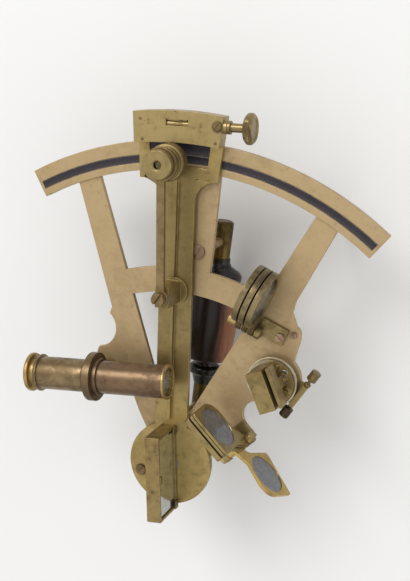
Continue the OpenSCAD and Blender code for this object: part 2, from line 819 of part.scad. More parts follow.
// Screws of the disc and of the slow-motion box
module arm_screws() {
    color(bright_brass)
        arm_place() {
            translate([disc_screw[0], disc_screw[1], arm_top])
                slot_screw(2.9, 1.2, small_shank_r, arm_t, turn = 40);
            translate([box_screw[0], limb_out_r + box_screw[1], arm_top + box_h])
                slot_screw(2.4, 0.8, small_shank_r, box_screw_l, turn = 50);
        }
}

// Index mirror

// Mirror frame open to +X, standing on z = 0, its middle at the origin
module mirror_box(l, t, h) {
    pocket = glass_recess + glass_t + gap;
    difference() {
        translate([-t / 2, -l / 2, 0]) cube([t, l, h]);
        translate([t / 2 - pocket, -l / 2 + mirror_wall, mirror_wall])
            cube([pocket + 1, l - 2 * mirror_wall, h - 2 * mirror_wall]);
    }
}

// Glass of a mirror frame of the same sizes
module mirror_glass(l, t, h) {
    side = fit + mirror_wall;
    translate([t / 2 - glass_recess - glass_t, -l / 2 + side, mirror_wall])
        cube([glass_t, l - 2 * side, h - 2 * mirror_wall - fit]);
}

module index_mirror_place() {
    arm_place()
        translate([0, -mirror_back, arm_top]) rotate([0, 0, -mirror_skew_angle]) children();
}

module index_mirror_frame() {
    color(brass) index_mirror_place() mirror_box(mirror_l, mirror_t, mirror_h);
}

module index_mirror_glass() {
    color(mirror_tint) index_mirror_place() mirror_glass(mirror_l, mirror_t, mirror_h);
}

// Two clips at the foot of the glass and one at the middle of its top
module mirror_clips() {
    clip_w = 5;
    clip_h = 4.5;
    clip_t = 0.8;
    lap = mirror_wall + 1;
    color(olive)
        index_mirror_place()
            translate([mirror_t / 2, 0, 0]) {
                translate([0, -mirror_l / 2, 0.3]) cube([clip_t, clip_w, clip_h]);
                translate([0, mirror_l / 2 - clip_w, 0.3]) cube([clip_t, clip_w, clip_h]);
                translate([0, -clip_w / 2, mirror_h - lap]) cube([clip_t, clip_w, lap]);
            }
}

// Slow motion

box_edge_x = head_in_w
    + (head_shift + head_out_w - head_in_w) * (tangent_y - head_in_r) / (box_out_r - head_in_r);
boss_end = box_edge_x + tangent_boss;
far_bearing = nut_half_w + 9;
tangent_boss_r = 3.6;

module tangent_box() {
    window_w = 13.1;
    window_d = 3.5;
    window_at = [0.7 - window_w / 2, 1 - window_d / 2];
    color(olive)
        arm_place()
            difference() {
                union() {
                    difference() {
                        translate([0, 0, arm_top]) head_slab(box_in_r, box_out_r, 0, box_h);
                        translate([0, 0, arm_top - 1])
                            head_slab(box_in_r + box_wall, box_out_r - box_wall, box_wall,
                                box_h - box_wall + 1);
                    }
                    // Far bearing of the tangent screw
                    translate([-far_bearing - 3, box_in_r + box_wall / 2, arm_top])
                        cube([3, box_w - box_wall, box_h - box_wall / 2]);
                    // Boss of the near bearing
                    translate([box_edge_x - box_wall, tangent_y, tangent_z])
                        along_x() cylinder(h = tangent_boss + box_wall, r = tangent_boss_r);
                }
                translate([-far_bearing - 2, tangent_y, tangent_z])
                    along_x() cylinder(h = far_bearing + boss_end + 4, r = tangent_r + fit);
                translate([box_screw[0], limb_out_r + box_screw[1], arm_top + box_h - box_screw_l - fit])
                    cylinder(h = box_screw_l + 1, r = small_shank_r + fit);
                // Window over the nut, a little right of the middle
                translate([window_at[0], tangent_y + window_at[1], arm_top + box_h - box_wall - 1])
                    cube([window_w, window_d, box_wall + 2]);
            }
}

module tangent_screw() {
    tail = 1.8;
    stop_r = tangent_r + 1.3;
    shaft_end = boss_end + tangent_neck;
    color(bright_brass)
        arm_place()
            translate([0, tangent_y, tangent_z])
                along_x() {
                    translate([0, 0, -far_bearing - tail])
                        cylinder(h = far_bearing + tail + shaft_end + 0.2, r = tangent_r);
                    translate([0, 0, boss_end + gap]) cylinder(h = 1.8, r = stop_r);
                    translate([0, 0, shaft_end]) dished_knob(tangent_knob_r, tangent_knob_t);
                }
}

// Nut, neck and clamp are one piece, which grips the limb from behind
module clamp_block() {
    nut_y = tangent_y - 3.8;
    nut_d = 7.6;
    clamp_top = face_z - gap;
    clamp_bottom = foot_l - gap - clamp_t;
    shoe_in_r = limb_in_r - 1.5;
    jaw_d = 12.4;
    color(brass)
        arm_place()
            difference() {
                union() {
                    translate([-nut_half_w, nut_y, arm_top + gap])
                        cube([2 * nut_half_w, nut_d, box_h - box_wall - 2 * gap]);
                    translate([-neck_half_w, neck_y, clamp_top - 1])
                        cube([2 * neck_half_w, neck_d, arm_t + 2]);
                    translate([-clamp_half_w, limb_out_r + 0.6, clamp_bottom])
                        cube([2 * clamp_half_w, jaw_d, clamp_top - clamp_bottom]);
                    translate([-clamp_half_w, shoe_in_r, clamp_bottom])
                        cube([2 * clamp_half_w, limb_out_r - shoe_in_r + 2, clamp_t]);
                }
                translate([-nut_half_w - 1, tangent_y, tangent_z])
                    along_x() cylinder(h = 2 * nut_half_w + 2, r = tangent_r + 2 * fit);
                translate([0, clamp_screw_y, clamp_bottom - 1])
                    cylinder(h = clamp_t + 2, r = clamp_screw_r + fit);
            }
}

clamp_screw_y = limb_in_r + 9;
clamp_screw_r = 2;

module clamp_screw() {
    neck = 2.5;
    tip = foot_l - gap;
    color(bright_brass)
        arm_place()
            translate([0, clamp_screw_y, tip - clamp_t - neck - 4]) {
                dished_knob(clamp_knob_r, 4);
                translate([0, 0, 3]) cylinder(h = clamp_t + neck + 1, r = clamp_screw_r);
            }
}

// Magnifier

loupe_y = strip_r - loupe_in;
loupe_reach = norm([loupe_off, loupe_y - swivel_y]);
loupe_angle = atan2(loupe_off, loupe_y - swivel_y);
loupe_arm_z = arm_top + post_h + 0.75 * gap;
loupe_top = loupe_arm_z + loupe_arm_t;
post_pin_r = 3;
pivot_shank_r = 1.8;
loupe_travel = 1.5;
cap_t = 4;
barrel_wall = 1.4;
barrel_h = 20.5;
foot_ring_t = 7;
foot_ring_wall = 1.6;
lens_seat = 5;
barrel_foot_z = loupe_arm_t + loupe_travel + gap + cap_t - barrel_h;

module swivel_post() {
    post_w = 8;
    post_d = 12;
    color(brass)
        arm_place()
            translate([0, swivel_y, arm_top])
                difference() {
                    union() {
                        cylinder(h = swivel_t, r = swivel_r);
                        translate([-post_w / 2, -post_d / 2, swivel_t - 0.5])
                            cube([post_w, post_d, post_h - swivel_t + 0.5]);
                        translate([0, 0, -arm_t]) cylinder(h = arm_t + 1, r = post_pin_r);
                    }
                    translate([0, 0, post_h - 9]) cylinder(h = 10, r = pivot_shank_r + fit);
                }
}

// Puts children at the swivel, turned to the magnifier, on the underside of its arm
module loupe_place() {
    arm_place()
        translate([0, swivel_y, loupe_arm_z]) rotate([0, 0, loupe_angle]) children();
}

module loupe_arm() {
    eye_r = 4.6;
    color(olive)
        loupe_place()
            difference() {
                union() {
                    cylinder(h = loupe_arm_t, r = eye_r);
                    translate([-loupe_arm_w / 2, 0, 0])
                        cube([loupe_arm_w, loupe_reach - barrel_r - 0.5, loupe_arm_t]);
                    translate([0, loupe_reach, 0]) cylinder(h = loupe_arm_t, r = barrel_r + barrel_wall);
                }
                translate([0, 0, -1]) cylinder(h = loupe_arm_t + 2, r = pivot_shank_r + fit);
                translate([0, loupe_reach, -1]) cylinder(h = loupe_arm_t + 2, r = barrel_r + fit);
            }
}

module loupe_pivot_screw() {
    color(bright_brass)
        loupe_place()
            translate([0, 0, loupe_arm_t + 0.75 * gap])
                slot_screw(3.7, 4, pivot_shank_r, loupe_arm_t + 8, turn = 55);
}

// Barrel, drawn from its foot: the foot ring holds the lens, the cap holds the eye hole
module loupe_barrel() {
    bore = barrel_r - barrel_wall;
    lens_bore = barrel_foot_r - foot_ring_wall;
    neck_top = barrel_h - (loupe_travel + gap + cap_t + loupe_arm_t + loupe_travel + gap);
    color(olive)
        loupe_place()
            translate([0, loupe_reach, barrel_foot_z])
                rotate_extrude()
                    polygon([[lens_bore, 0], [barrel_foot_r - 0.6, 0], [barrel_foot_r, 0.6],
                        [barrel_foot_r, foot_ring_t - 0.6], [barrel_foot_r - 0.6, foot_ring_t],
                        [barrel_r + barrel_wall, foot_ring_t], [barrel_r + barrel_wall, neck_top],
                        [barrel_r, neck_top], [barrel_r, barrel_h - cap_t],
                        [barrel_r + 0.4, barrel_h - cap_t], [barrel_r + 0.4, barrel_h - 0.6],
                        [barrel_r - 0.2, barrel_h], [eye_hole_r + 1, barrel_h],
                        [eye_hole_r, barrel_h - 0.8], [eye_hole_r, barrel_h - 1.6],
                        [bore, barrel_h - 1.6], [bore, lens_seat], [lens_bore, lens_seat]]);
}

module loupe_lens() {
    r = barrel_foot_r - foot_ring_wall - fit;
    t = 2.4;
    color(clear_tint)
        loupe_place()
            translate([0, loupe_reach, barrel_foot_z + lens_seat - t])
                rotate_extrude()
                    polygon([[0, -0.8], [r * 0.5, -0.6], [r, 0], [r, t], [0, t]]);
}

// Telescope

guide_spigot_r = stem_r + 2;
guide_floor = 4;
rising_back = 1.5;
rising_retainer_t = 1.2;
rising_shank_r = 2;
rising_shank_l = 12;
tube_in_r = tube_r - tube_wall;
sleeve_r = tube_in_r - fit;
sleeve_in_r = sleeve_r - tube_wall;
adapter_sleeve_r = adapter_r - 0.7;
// Distances along the telescope from the middle of the collar, towards the horizon mirror
draw_start = -collar_t / 2 - 2.7;
draw_end = draw_start - draw_l;
sleeve_l = 20;
sleeve_end = draw_start - sleeve_l;

// Puts children drawn along +Z on the telescope's axis, s from the middle of the collar
module scope_place(s) {
    translate([collar[0], collar[1], sight_z])
        rotate([0, 0, scope_angle]) translate([s, 0, 0]) along_x() children();
}

module rising_guide() {
    color(brass)
        translate([collar[0], collar[1], 0])
            difference() {
                union() {
                    translate([0, 0, foot_l - guide_l]) cylinder(h = guide_l, r = guide_r);
                    translate([0, 0, foot_l - 1]) cylinder(h = plate_t + 1, r = guide_spigot_r);
                }
                translate([0, 0, foot_l - guide_l + guide_floor])
                    cylinder(h = guide_l + limb_t, r = stem_r + fit);
                translate([0, 0, foot_l - guide_l - 1])
                    cylinder(h = guide_floor + 2, r = rising_shank_r + fit);
            }
}

module rising_screw() {
    floor_z = foot_l - guide_l;
    knob_t = 5;
    color(bright_brass)
        translate([collar[0], collar[1], floor_z]) {
            translate([0, 0, -gap - knob_t]) dished_knob(rising_knob_r, knob_t);
            translate([0, 0, -gap - 1]) cylinder(h = guide_floor + rising_shank_l, r = rising_shank_r);
            translate([0, 0, guide_floor + gap / 2])
                cylinder(h = rising_retainer_t, r = rising_shank_r + 1.2);
        }
}

// Ring and its stem, which rises and falls in the guide
module telescope_collar() {
    stem_bottom = foot_l - guide_l + guide_floor + 2 * gap + rising_back + rising_retainer_t;
    color(brass)
        difference() {
            union() {
                scope_place(-collar_t / 2) cylinder(h = collar_t, r = collar_r);
                translate([collar[0], collar[1], stem_bottom])
                    cylinder(h = sight_z - collar_r + 1.5 - stem_bottom, r = stem_r);
            }
            scope_place(-collar_t) cylinder(h = 2 * collar_t, r = adapter_sleeve_r + fit);
            translate([collar[0], collar[1], stem_bottom - 1])
                cylinder(h = rising_shank_l + 2, r = rising_shank_r + fit);
        }
}

module adapter_ring() {
    color(rosy_brass)
        difference() {
            union() {
                scope_place(-collar_t / 2) cylinder(h = collar_t, r = adapter_sleeve_r);
                scope_place(collar_t / 2) cylinder(h = adapter_l, r = adapter_r);
            }
            scope_place(-collar_t) cylinder(h = 3 * collar_t, r = tube_r + fit);
        }
}

// Main tube with the polished band behind the collar and the sleeve inside the draw tube
module telescope_tube() {
    color(rosy_brass)
        scope_place(0)
            rotate_extrude()
                polygon([[sleeve_in_r, sleeve_end], [sleeve_r, sleeve_end], [sleeve_r, draw_start + 0.1],
                    [tube_r, draw_start + 0.1], [tube_r, main_l], [tube_in_r, main_l], [tube_in_r, 0],
                    [sleeve_in_r, 0]]);
}

cell_l = 5;
lens_r = tube_in_r - 0.6;
lens_in = 2.5;
seat_w = 0.8;

module objective_cell() {
    rim_t = 1.3;
    color(brass)
        scope_place(main_l)
            rotate_extrude()
                polygon([[lens_r - seat_w, -cell_l], [tube_in_r - fit, -cell_l], [tube_in_r - fit, 0],
                    [rim_r, 0], [rim_r, rim_t - 0.3], [rim_r - 0.3, rim_t], [lens_r + fit, rim_t],
                    [lens_r + fit, -lens_in], [lens_r - seat_w, -lens_in]]);
}

module objective_lens() {
    color(clear_tint)
        scope_place(main_l - lens_in)
            rotate_extrude()
                polygon([[0, 0], [lens_r, 0], [lens_r, 1.2], [lens_r * 0.5, 1.8], [0, 2]]);
}

module draw_tube() {
    bead_s = draw_end + 1;
    bead = 1.3;
    color(rosy_brass)
        scope_place(0)
            rotate_extrude()
                polygon([[tube_in_r, draw_end], [tube_r, draw_end], [tube_r, bead_s],
                    [tube_r + bead, bead_s + 0.3], [tube_r + bead, bead_s + 1.5], [tube_r, bead_s + 1.8],
                    [tube_r, draw_start], [tube_in_r, draw_start]]);
}

eye_lens_r = 5.4;

module eyepiece_cup() {
    spigot_l = 5;
    waist_l = 2.6;
    color(brass)
        scope_place(draw_end)
            rotate_extrude()
                polygon([[eye_lens_r - seat_w, -1], [eye_lens_r - seat_w, -waist_l],
                    [cup_r - 3.4, -waist_l - cup_t],
                    [cup_r - 0.4, -waist_l - cup_t], [cup_r, -waist_l - cup_t + 0.4], [cup_r, -waist_l - 0.4],
                    [cup_r - 0.4, -waist_l], [tube_in_r, -waist_l], [tube_in_r, 0], [tube_in_r - fit, 0],
                    [tube_in_r - fit, spigot_l], [eye_lens_r + fit, spigot_l], [eye_lens_r + fit, -1]]);
}

module eyepiece_lens() {
    color(clear_tint)
        scope_place(draw_end - 1)
            rotate_extrude()
                polygon([[0, 0], [eye_lens_r, 0], [eye_lens_r, 1.6], [0, 2.4]]);
}

// Horizon mirror

base_stem_r = 3;
base_nut_r = 6;
base_nut_h = 3;
base_low = -limb_t + plate_t + gap;
base_dish = 0.5;
stand_t = 1.5;
back_h = 10;
back_foot_w = 6;
plate_screw_y = 6.6;

module horizon_base() {
    nut_z = -limb_t - gap - base_nut_h;
    color(brass)
        horizon_place(0) {
            difference() {
                union() {
                    translate([0, 0, base_low]) cylinder(h = base_h - base_low, r = base_r);
                    translate([0, 0, base_h - base_rim_t]) cylinder(h = base_rim_t, r = base_rim_r);
                }
                // Shallow dish inside the rim
                translate([0, 0, base_h - base_dish]) cylinder(h = 1, r = base_rim_r - 1.2);
            }
            translate([0, 0, nut_z]) cylinder(h = base_h - 1 - nut_z, r = base_stem_r);
            translate([0, 0, nut_z]) cylinder(h = base_nut_h, r = base_nut_r);
        }
}

module horizon_mirror_place() {
    horizon_place(horizon_angle) translate([0, 0, base_h - base_dish]) children();
}

// Frame open to the left, with a stand that carries the back plate and a half-round clamping plate
module horizon_mirror_frame() {
    half = horizon_t / 2;
    back_x = half + slit_w;
    plate_x = back_x + back_t;
    color(brass)
        horizon_mirror_place() {
            translate([0, 0, 0.5]) mirror([1, 0, 0]) mirror_box(horizon_l, horizon_t, horizon_h);
            translate([-half + 1, -horizon_l / 2 + 1, 0]) cube([horizon_t - 1, horizon_l - 2, 1]);
            intersection() {
                cylinder(h = stand_t, r = base_rim_r - 1.4);
                translate([half - 1, -base_rim_r, 0]) cube([base_rim_r, 2 * base_rim_r, stand_t]);
            }
            translate([back_x, -horizon_l / 2, horizon_h - 1 - back_h]) cube([back_t, horizon_l, back_h]);
            // Narrow foot of the back plate, the clip behind it and two screws
            translate([back_x, -back_foot_w / 2, 0.5]) cube([back_t, back_foot_w, horizon_h - 1 - back_h]);
            translate([plate_x - 0.5, -1, 0.5]) cube([2, 2, 4]);
            for (y = [-plate_screw_y, plate_screw_y])
                translate([back_x + 0.6, y, stand_t]) slot_screw(1.9, 1.2, 1, 1, turn = 8 * y);
        }
}

module horizon_mirror_glass() {
    color(mirror_tint)
        horizon_mirror_place()
            translate([0, 0, 0.5]) mirror([1, 0, 0]) mirror_glass(horizon_l, horizon_t, horizon_h);
}

// Local frame of the adjusting screws: +Y along the screws, +X away from the mirror
bar_angle = -28;
bar_y = -4.7;
bar_l = 15;
spindle_h = 1.5;
spindle_r = 1;

module adjusting_bar() {
    wall = 1.55;
    foot_in = base_r + 0.7;
    low = -limb_t + plate_t;
    color(olive)
        horizon_place(bar_angle)
            difference() {
                union() {
                    translate([spindle_off - wall, bar_y, low])
                        cube([2 * wall, bar_l, spindle_h + 2.5 - low]);
                    translate([foot_in, bar_y, low]) cube([spindle_off + wall - foot_in, bar_l, 1.4]);
                }
                translate([spindle_off, bar_y - 1, spindle_h])
                    along_y() cylinder(h = bar_l + 2, r = spindle_r + fit);
            }
}

module adjusting_spindle() {
    near_neck = 1.9;
    far_neck = 4.4;
    color(brass)
        horizon_place(bar_angle)
            translate([spindle_off, bar_y, spindle_h])
                along_y() {
                    translate([0, 0, -near_neck - 1])
                        cylinder(h = near_neck + bar_l + far_neck + 2, r = spindle_r);
                    translate([0, 0, -near_neck - capstan_l]) cylinder(h = capstan_l, r = capstan_r);
                    translate([0, 0, bar_l + gap]) cylinder(h = 1.6, r = 2);
                    translate([0, 0, bar_l + far_neck]) cylinder(h = capstan_l, r = capstan_r);
                }
}

// Index shades

// Place along the beam and thickness of each square shade
shade_from = [38.6, 41.9, 46.3, 48.25];
shade_thick = [1.8, 3.3, 1.65, 1.65];
index_plate_z = -limb_t + plate_t;
index_plate_t = 2.7;
bracket_from = 31;
// The bracket's base runs from here to a clear strip beside the pin, where the shades' ears pass
bracket_in_u = 8;
ear_room = 1.2;
near_lug_t = 3.5;
far_lug_from = 50.2;
far_lug_t = 3.3;
// What the lugs are set in at their outer side, below the pin
lug_set_in = 1.6;
shade_mid_u = 1.2;
shade_low_z = shade_pin_h + 4.7;
shade_corner = 10;
small_corner = 2;
pin_nut_t = 2;
washer_gap = 0.12;
lip_t = 0.35;
lip_w = 0.9;

module index_shade_bracket() {
    far_end = far_lug_from + far_lug_t;
    color(brass)
        index_shade_place()
            difference() {
                union() {
                    translate([bracket_in_u, bracket_from - 1, index_plate_z])
                        cube([shade_pin_u - ear_room - bracket_in_u, far_end - bracket_from + 1,
                            index_plate_t]);
                    for (lug = [[bracket_from, near_lug_t], [far_lug_from, far_lug_t]])
                        translate([shade_pin_u, lug[0], shade_pin_h]) {
                            along_y() cylinder(h = lug[1], r = knuckle_r);
                            translate([-knuckle_r, 0, index_plate_z - shade_pin_h])
                                cube([2 * knuckle_r - lug_set_in, lug[1], shade_pin_h - index_plate_z]);
                        }
                }
                translate([shade_pin_u, bracket_from - 2, shade_pin_h])
                    along_y() cylinder(h = far_end - bracket_from + 4, r = pin_r + fit);
                at_screws_local(index_bracket_screws, index_plate_z - 1, index_plate_t + 2);
            }
}

// Screw holes at places given in a bracket's own frame
module at_screws_local(places, z, h) {
    for (p = places) translate([p[0], p[1], z]) cylinder(h = h, r = small_shank_r + fit);
}

// Pin with its end nut and the washers between the shades
module index_shade_pin() {
    ends = [for (i = [0:3]) shade_from[i] + shade_thick[i]];
    // Each washer fills the room before a shade, or before the far lug
    starts = [bracket_from + near_lug_t, for (e = ends) e + washer_gap];
    stops = [for (f = shade_from) f - washer_gap, far_lug_from];
    color(brass)
        index_shade_place()
            translate([shade_pin_u, bracket_from - pin_nut_t, shade_pin_h])
                along_y() {
                    cylinder(h = far_lug_from + far_lug_t - bracket_from + pin_nut_t, r = pin_r);
                    cylinder(h = pin_nut_t, r = pin_r + 1.2);
                    for (i = [0:4])
                        translate([0, 0, starts[i] - bracket_from + pin_nut_t])
                            cylinder(h = stops[i] - starts[i], r = pin_r + 1);
                }
}

// What a round of radius r takes off a square corner that opens towards +X and +Y
module corner_waste(r) {
    difference() {
        translate([-1, -1]) square(r + 1);
        translate([r, r]) circle(r = r);
    }
}

// Outline of a square shade in its own plane: x to the right of the beam, y up from the limb
module shade_outline() {
    left = shade_mid_u - shade_w / 2;
    right = shade_mid_u + shade_w / 2;
    top = shade_low_z + shade_h;
    difference() {
        union() {
            translate([left, shade_low_z]) square([shade_w, shade_h]);
            polygon([[right - 9, shade_low_z + 1], [shade_pin_u - 1.5, shade_pin_h - 2.6],
                [shade_pin_u + 2.8, shade_pin_h + 1.3], [right, shade_low_z + 8]]);
            translate([shade_pin_u, shade_pin_h]) circle(r = knuckle_r);
        }
        // Large round at the lower corner on the mirror's side, small ones above
        translate([left, shade_low_z]) corner_waste(shade_corner);
        translate([left, top]) mirror([0, 1]) corner_waste(small_corner);
        translate([right, top]) rotate(180) corner_waste(small_corner);
        translate([shade_pin_u, shade_pin_h]) circle(r = pin_r + fit);
    }
}

// Turns children about the shades' pin
module about_pin(angle) {
    translate([shade_pin_u, 0, shade_pin_h])
        rotate([0, angle, 0]) translate([-shade_pin_u, 0, -shade_pin_h]) children();
}

// Square shade i with its glass left out; the first is turned out at rest
module shade_frame(i) {
    mid_z = shade_low_z + shade_h / 2;
    index_shade_place()
        about_pin(i == 0 ? shade_out_angle : 0)
            difference() {
                translate([0, shade_from[i] + shade_thick[i], 0])
                    rotate([90, 0, 0]) linear_extrude(shade_thick[i]) shade_outline();
                translate([shade_mid_u, shade_from[i] - 1, mid_z])
                    along_y() cylinder(h = shade_thick[i] + 2, r = shade_glass_r - lip_w);
                translate([shade_mid_u, shade_from[i] + lip_t, mid_z])
                    along_y() cylinder(h = shade_thick[i], r = shade_glass_r + fit);
            }
}

module shade_glass(i) {
    glass = min(1.2, shade_thick[i] - lip_t - 0.6);
    index_shade_place()
        about_pin(i == 0 ? shade_out_angle : 0)
            translate([shade_mid_u, shade_from[i] + lip_t, shade_low_z + shade_h / 2])
                along_y() cylinder(h = glass, r = shade_glass_r);
}

module index_shade_1() { color(brass) shade_frame(0); }
module index_shade_2() { color(brass) shade_frame(1); }
module index_shade_3() { color(brass) shade_frame(2); }
module index_shade_4() { color(brass) shade_frame(3); }
module index_glass_1() { color(grey_tint) shade_glass(0); }
module index_glass_2() { color(grey_tint) shade_glass(1); }
module index_glass_3() { color(brown_tint) shade_glass(2); }
module index_glass_4() { color(grey_tint) shade_glass(3); }

// Horizon shades

round_gap = 0.9;
round_first = 0.6;
round_pin_h = 4;
round_pin_r = 1.6;
round_knuckle_r = 3.4;
round_plate_z = -limb_t + plate_t;
round_plate_t = 2.2;
round_lug_from = round_first + 3 * round_t + 2 * round_gap + 0.5;
round_lug_t = 3.1;
round_cap = 4.6;

function round_from(i) = round_first + i * (round_t + round_gap);

module horizon_shade_bracket() {
    plate_in = -8.6;
    plate_w = 10;
    plate_end = 28.8;
    color(brass)
        round_shade_place()
            difference() {
                union() {
                    translate([plate_in, round_lug_from, round_plate_z])
                        cube([plate_w, plate_end - round_lug_from, round_plate_t]);
                    translate([0, round_lug_from, round_pin_h])
                        along_y() cylinder(h = round_lug_t, r = round_knuckle_r);
                    translate([-round_knuckle_r, round_lug_from, round_plate_z])
                        cube([2 * round_knuckle_r, round_lug_t, round_pin_h - round_plate_z]);
                }
                translate([0, round_lug_from - 1, round_pin_h])
                    along_y() cylinder(h = round_lug_t + 2, r = round_pin_r + fit);
                at_screws_local(round_bracket_screws, round_plate_z - 1, round_plate_t + 2);
            }
}

// Pin with its cap, and the washers between the round shades
module horizon_shade_pin() {
    color(brass)
        round_shade_place()
            translate([0, -round_cap, round_pin_h])
                along_y() {
                    cylinder(h = round_lug_from + round_lug_t + round_cap, r = round_pin_r);
                    cylinder(h = round_cap + round_first - washer_gap, r = round_pin_r + 1.4);
                    for (i = [1, 2])
                        translate([0, 0, round_cap + round_from(i) - round_gap + washer_gap])
                            cylinder(h = round_gap - 2 * washer_gap, r = round_pin_r + 1);
                }
}

// Puts children at the pin, beside round shade i, turned as the shade stands at rest
module round_place(i) {
    round_shade_place()
        translate([0, round_from(i), round_pin_h]) rotate([0, round_rise_angle - 90, 0]) children();
}

// Disc of radius r at the middle of a round shade, from one of its faces onward
module round_disc(from, h, r) {
    translate([0, from, round_reach]) along_y() cylinder(h = h, r = r);
}

// Round shade i, with its ear to the pin
module round_frame(i) {
    ear_l = round_reach - round_r + 2;
    round_place(i)
        difference() {
            union() {
                round_disc(0, round_t, round_r);
                along_y() cylinder(h = round_t, r = round_knuckle_r);
                translate([-round_knuckle_r, 0, 0]) cube([2 * round_knuckle_r, round_t, ear_l]);
            }
            translate([0, -1, 0]) along_y() cylinder(h = round_t + 2, r = round_pin_r + fit);
            round_disc(-1, round_t + 2, round_glass_r - lip_w);
            round_disc(lip_t, round_t, round_glass_r + fit);
        }
}

module round_glass(i) {
    round_place(i) round_disc(lip_t, 1.4, round_glass_r);
}

module horizon_shade_1() { color(brass) round_frame(0); }
module horizon_shade_2() { color(brass) round_frame(1); }
module horizon_shade_3() { color(brass) round_frame(2); }
module horizon_glass_1() { color(grey_tint) round_glass(0); }
module horizon_glass_2() { color(brown_tint) round_glass(1); }
module horizon_glass_3() { color(grey_tint) round_glass(2); }

frame();
arc_scale();
pivot_bush();
pivot_foot();
frame_feet();
frame_screws();
handle_pillars();
handle_ferrules();
handle_fittings();
handle_grip();
handle_rod();
index_arm();
pivot_axle();
vernier();
arm_screws();
index_mirror_frame();
index_mirror_glass();
mirror_clips();
tangent_box();
tangent_screw();
clamp_block();
clamp_screw();
swivel_post();
loupe_arm();
loupe_pivot_screw();
loupe_barrel();
loupe_lens();
rising_guide();
rising_screw();
telescope_collar();
adapter_ring();
telescope_tube();
objective_cell();
objective_lens();
draw_tube();
eyepiece_cup();
eyepiece_lens();
horizon_base();
horizon_mirror_frame();
horizon_mirror_glass();
adjusting_bar();
adjusting_spindle();
index_shade_bracket();
index_shade_pin();
index_shade_1();
index_shade_2();
index_shade_3();
index_shade_4();
index_glass_1();
index_glass_2();
index_glass_3();
index_glass_4();
horizon_shade_bracket();
horizon_shade_pin();
horizon_shade_1();
horizon_shade_2();
horizon_shade_3();
horizon_glass_1();
horizon_glass_2();
horizon_glass_3();
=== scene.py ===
import json
import math
import bpy
import bmesh
from mathutils import Matrix, Vector

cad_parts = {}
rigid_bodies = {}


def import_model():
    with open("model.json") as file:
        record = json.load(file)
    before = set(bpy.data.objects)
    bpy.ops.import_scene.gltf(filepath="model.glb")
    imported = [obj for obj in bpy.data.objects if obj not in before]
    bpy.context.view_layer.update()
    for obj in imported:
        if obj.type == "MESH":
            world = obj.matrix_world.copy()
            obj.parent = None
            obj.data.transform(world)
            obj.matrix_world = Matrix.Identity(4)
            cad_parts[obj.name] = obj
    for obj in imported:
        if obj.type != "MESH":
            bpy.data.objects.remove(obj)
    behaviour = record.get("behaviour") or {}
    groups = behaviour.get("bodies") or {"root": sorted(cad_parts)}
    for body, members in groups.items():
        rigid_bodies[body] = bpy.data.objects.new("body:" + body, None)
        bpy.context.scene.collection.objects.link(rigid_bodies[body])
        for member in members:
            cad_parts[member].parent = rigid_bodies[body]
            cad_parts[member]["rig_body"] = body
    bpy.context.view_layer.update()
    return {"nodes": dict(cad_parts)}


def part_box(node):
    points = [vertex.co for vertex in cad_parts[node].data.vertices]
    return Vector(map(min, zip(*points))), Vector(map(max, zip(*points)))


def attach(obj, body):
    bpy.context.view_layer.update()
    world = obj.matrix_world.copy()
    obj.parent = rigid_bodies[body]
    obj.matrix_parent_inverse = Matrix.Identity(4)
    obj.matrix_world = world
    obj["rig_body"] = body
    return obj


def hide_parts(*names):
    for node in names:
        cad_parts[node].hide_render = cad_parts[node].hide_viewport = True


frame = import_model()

# Frame casting
# One flat brass casting: limb, three legs, cross-bar and hub, filed and once lacquered.
# The lacquer has gone to a dull tan with cloudy darker patches; the edges are painted bright, partly as
# rubbed brass and partly as a painted highlight.
MM = 0.001
FRAME_EDGE = 0.35 * MM
SEAM_GAP = 1e-6
FLAT_ANGLE = math.radians(0.4)
SHARP_ANGLE = math.radians(32)
RELIEF_DEPTH = 0.05 * MM
MILLED_DEPTH = 9
FRAME_TAN = (170, 147, 109)
FRAME_DARK = (132, 110, 76)
FRAME_STAIN = (98, 80, 54)


def linear(red, green, blue):
    """A colour as the eye sees it, 0 to 255, in the linear values that a shader takes."""
    def channel(value):
        value /= 255
        return value / 12.92 if value <= 0.04045 else ((value + 0.055) / 1.055) ** 2.4
    return (channel(red), channel(green), channel(blue), 1)


class Wire:
    """One output in a finish, on which arithmetic adds Math nodes."""

    def __init__(self, finish, socket):
        self.finish = finish
        self.socket = socket

    def maths(self, operation, first, second):
        return self.finish.node("ShaderNodeMath", {"operation": operation}, {0: first, 1: second})

    def __add__(self, other):
        return self.maths("ADD", self, other)

    def __radd__(self, other):
        return self.maths("ADD", other, self)

    def __sub__(self, other):
        return self.maths("SUBTRACT", self, other)

    def __rsub__(self, other):
        return self.maths("SUBTRACT", other, self)

    def __mul__(self, other):
        return self.maths("MULTIPLY", self, other)

    def __rmul__(self, other):
        return self.maths("MULTIPLY", other, self)

    def __truediv__(self, other):
        return self.maths("DIVIDE", self, other)

    def __mod__(self, other):
        return self.maths("FLOORED_MODULO", self, other)

    def __lt__(self, other):
        return self.maths("LESS_THAN", self, other)

    def __gt__(self, other):
        return self.maths("GREATER_THAN", self, other)


class Nodes:
    """A node tree that is being filled."""

    def __init__(self, tree):
        self.tree = tree

    def node(self, kind, settings=None, inputs=None, output=0):
        made = self.tree.nodes.new(kind)
        for key, value in (settings or {}).items():
            if key == "stops":
                ramp = made.color_ramp.elements
                while len(ramp) < len(value):
                    ramp.new(1)
                for element, (place, colour) in zip(ramp, value):
                    element.position = place
                    element.color = colour
            else:
                setattr(made, key, value)
        for key, value in (inputs or {}).items():
            if isinstance(value, Wire):
                self.tree.links.new(value.socket, made.inputs[key])
            else:
                made.inputs[key].default_value = value
        return Wire(self, made.outputs[output])


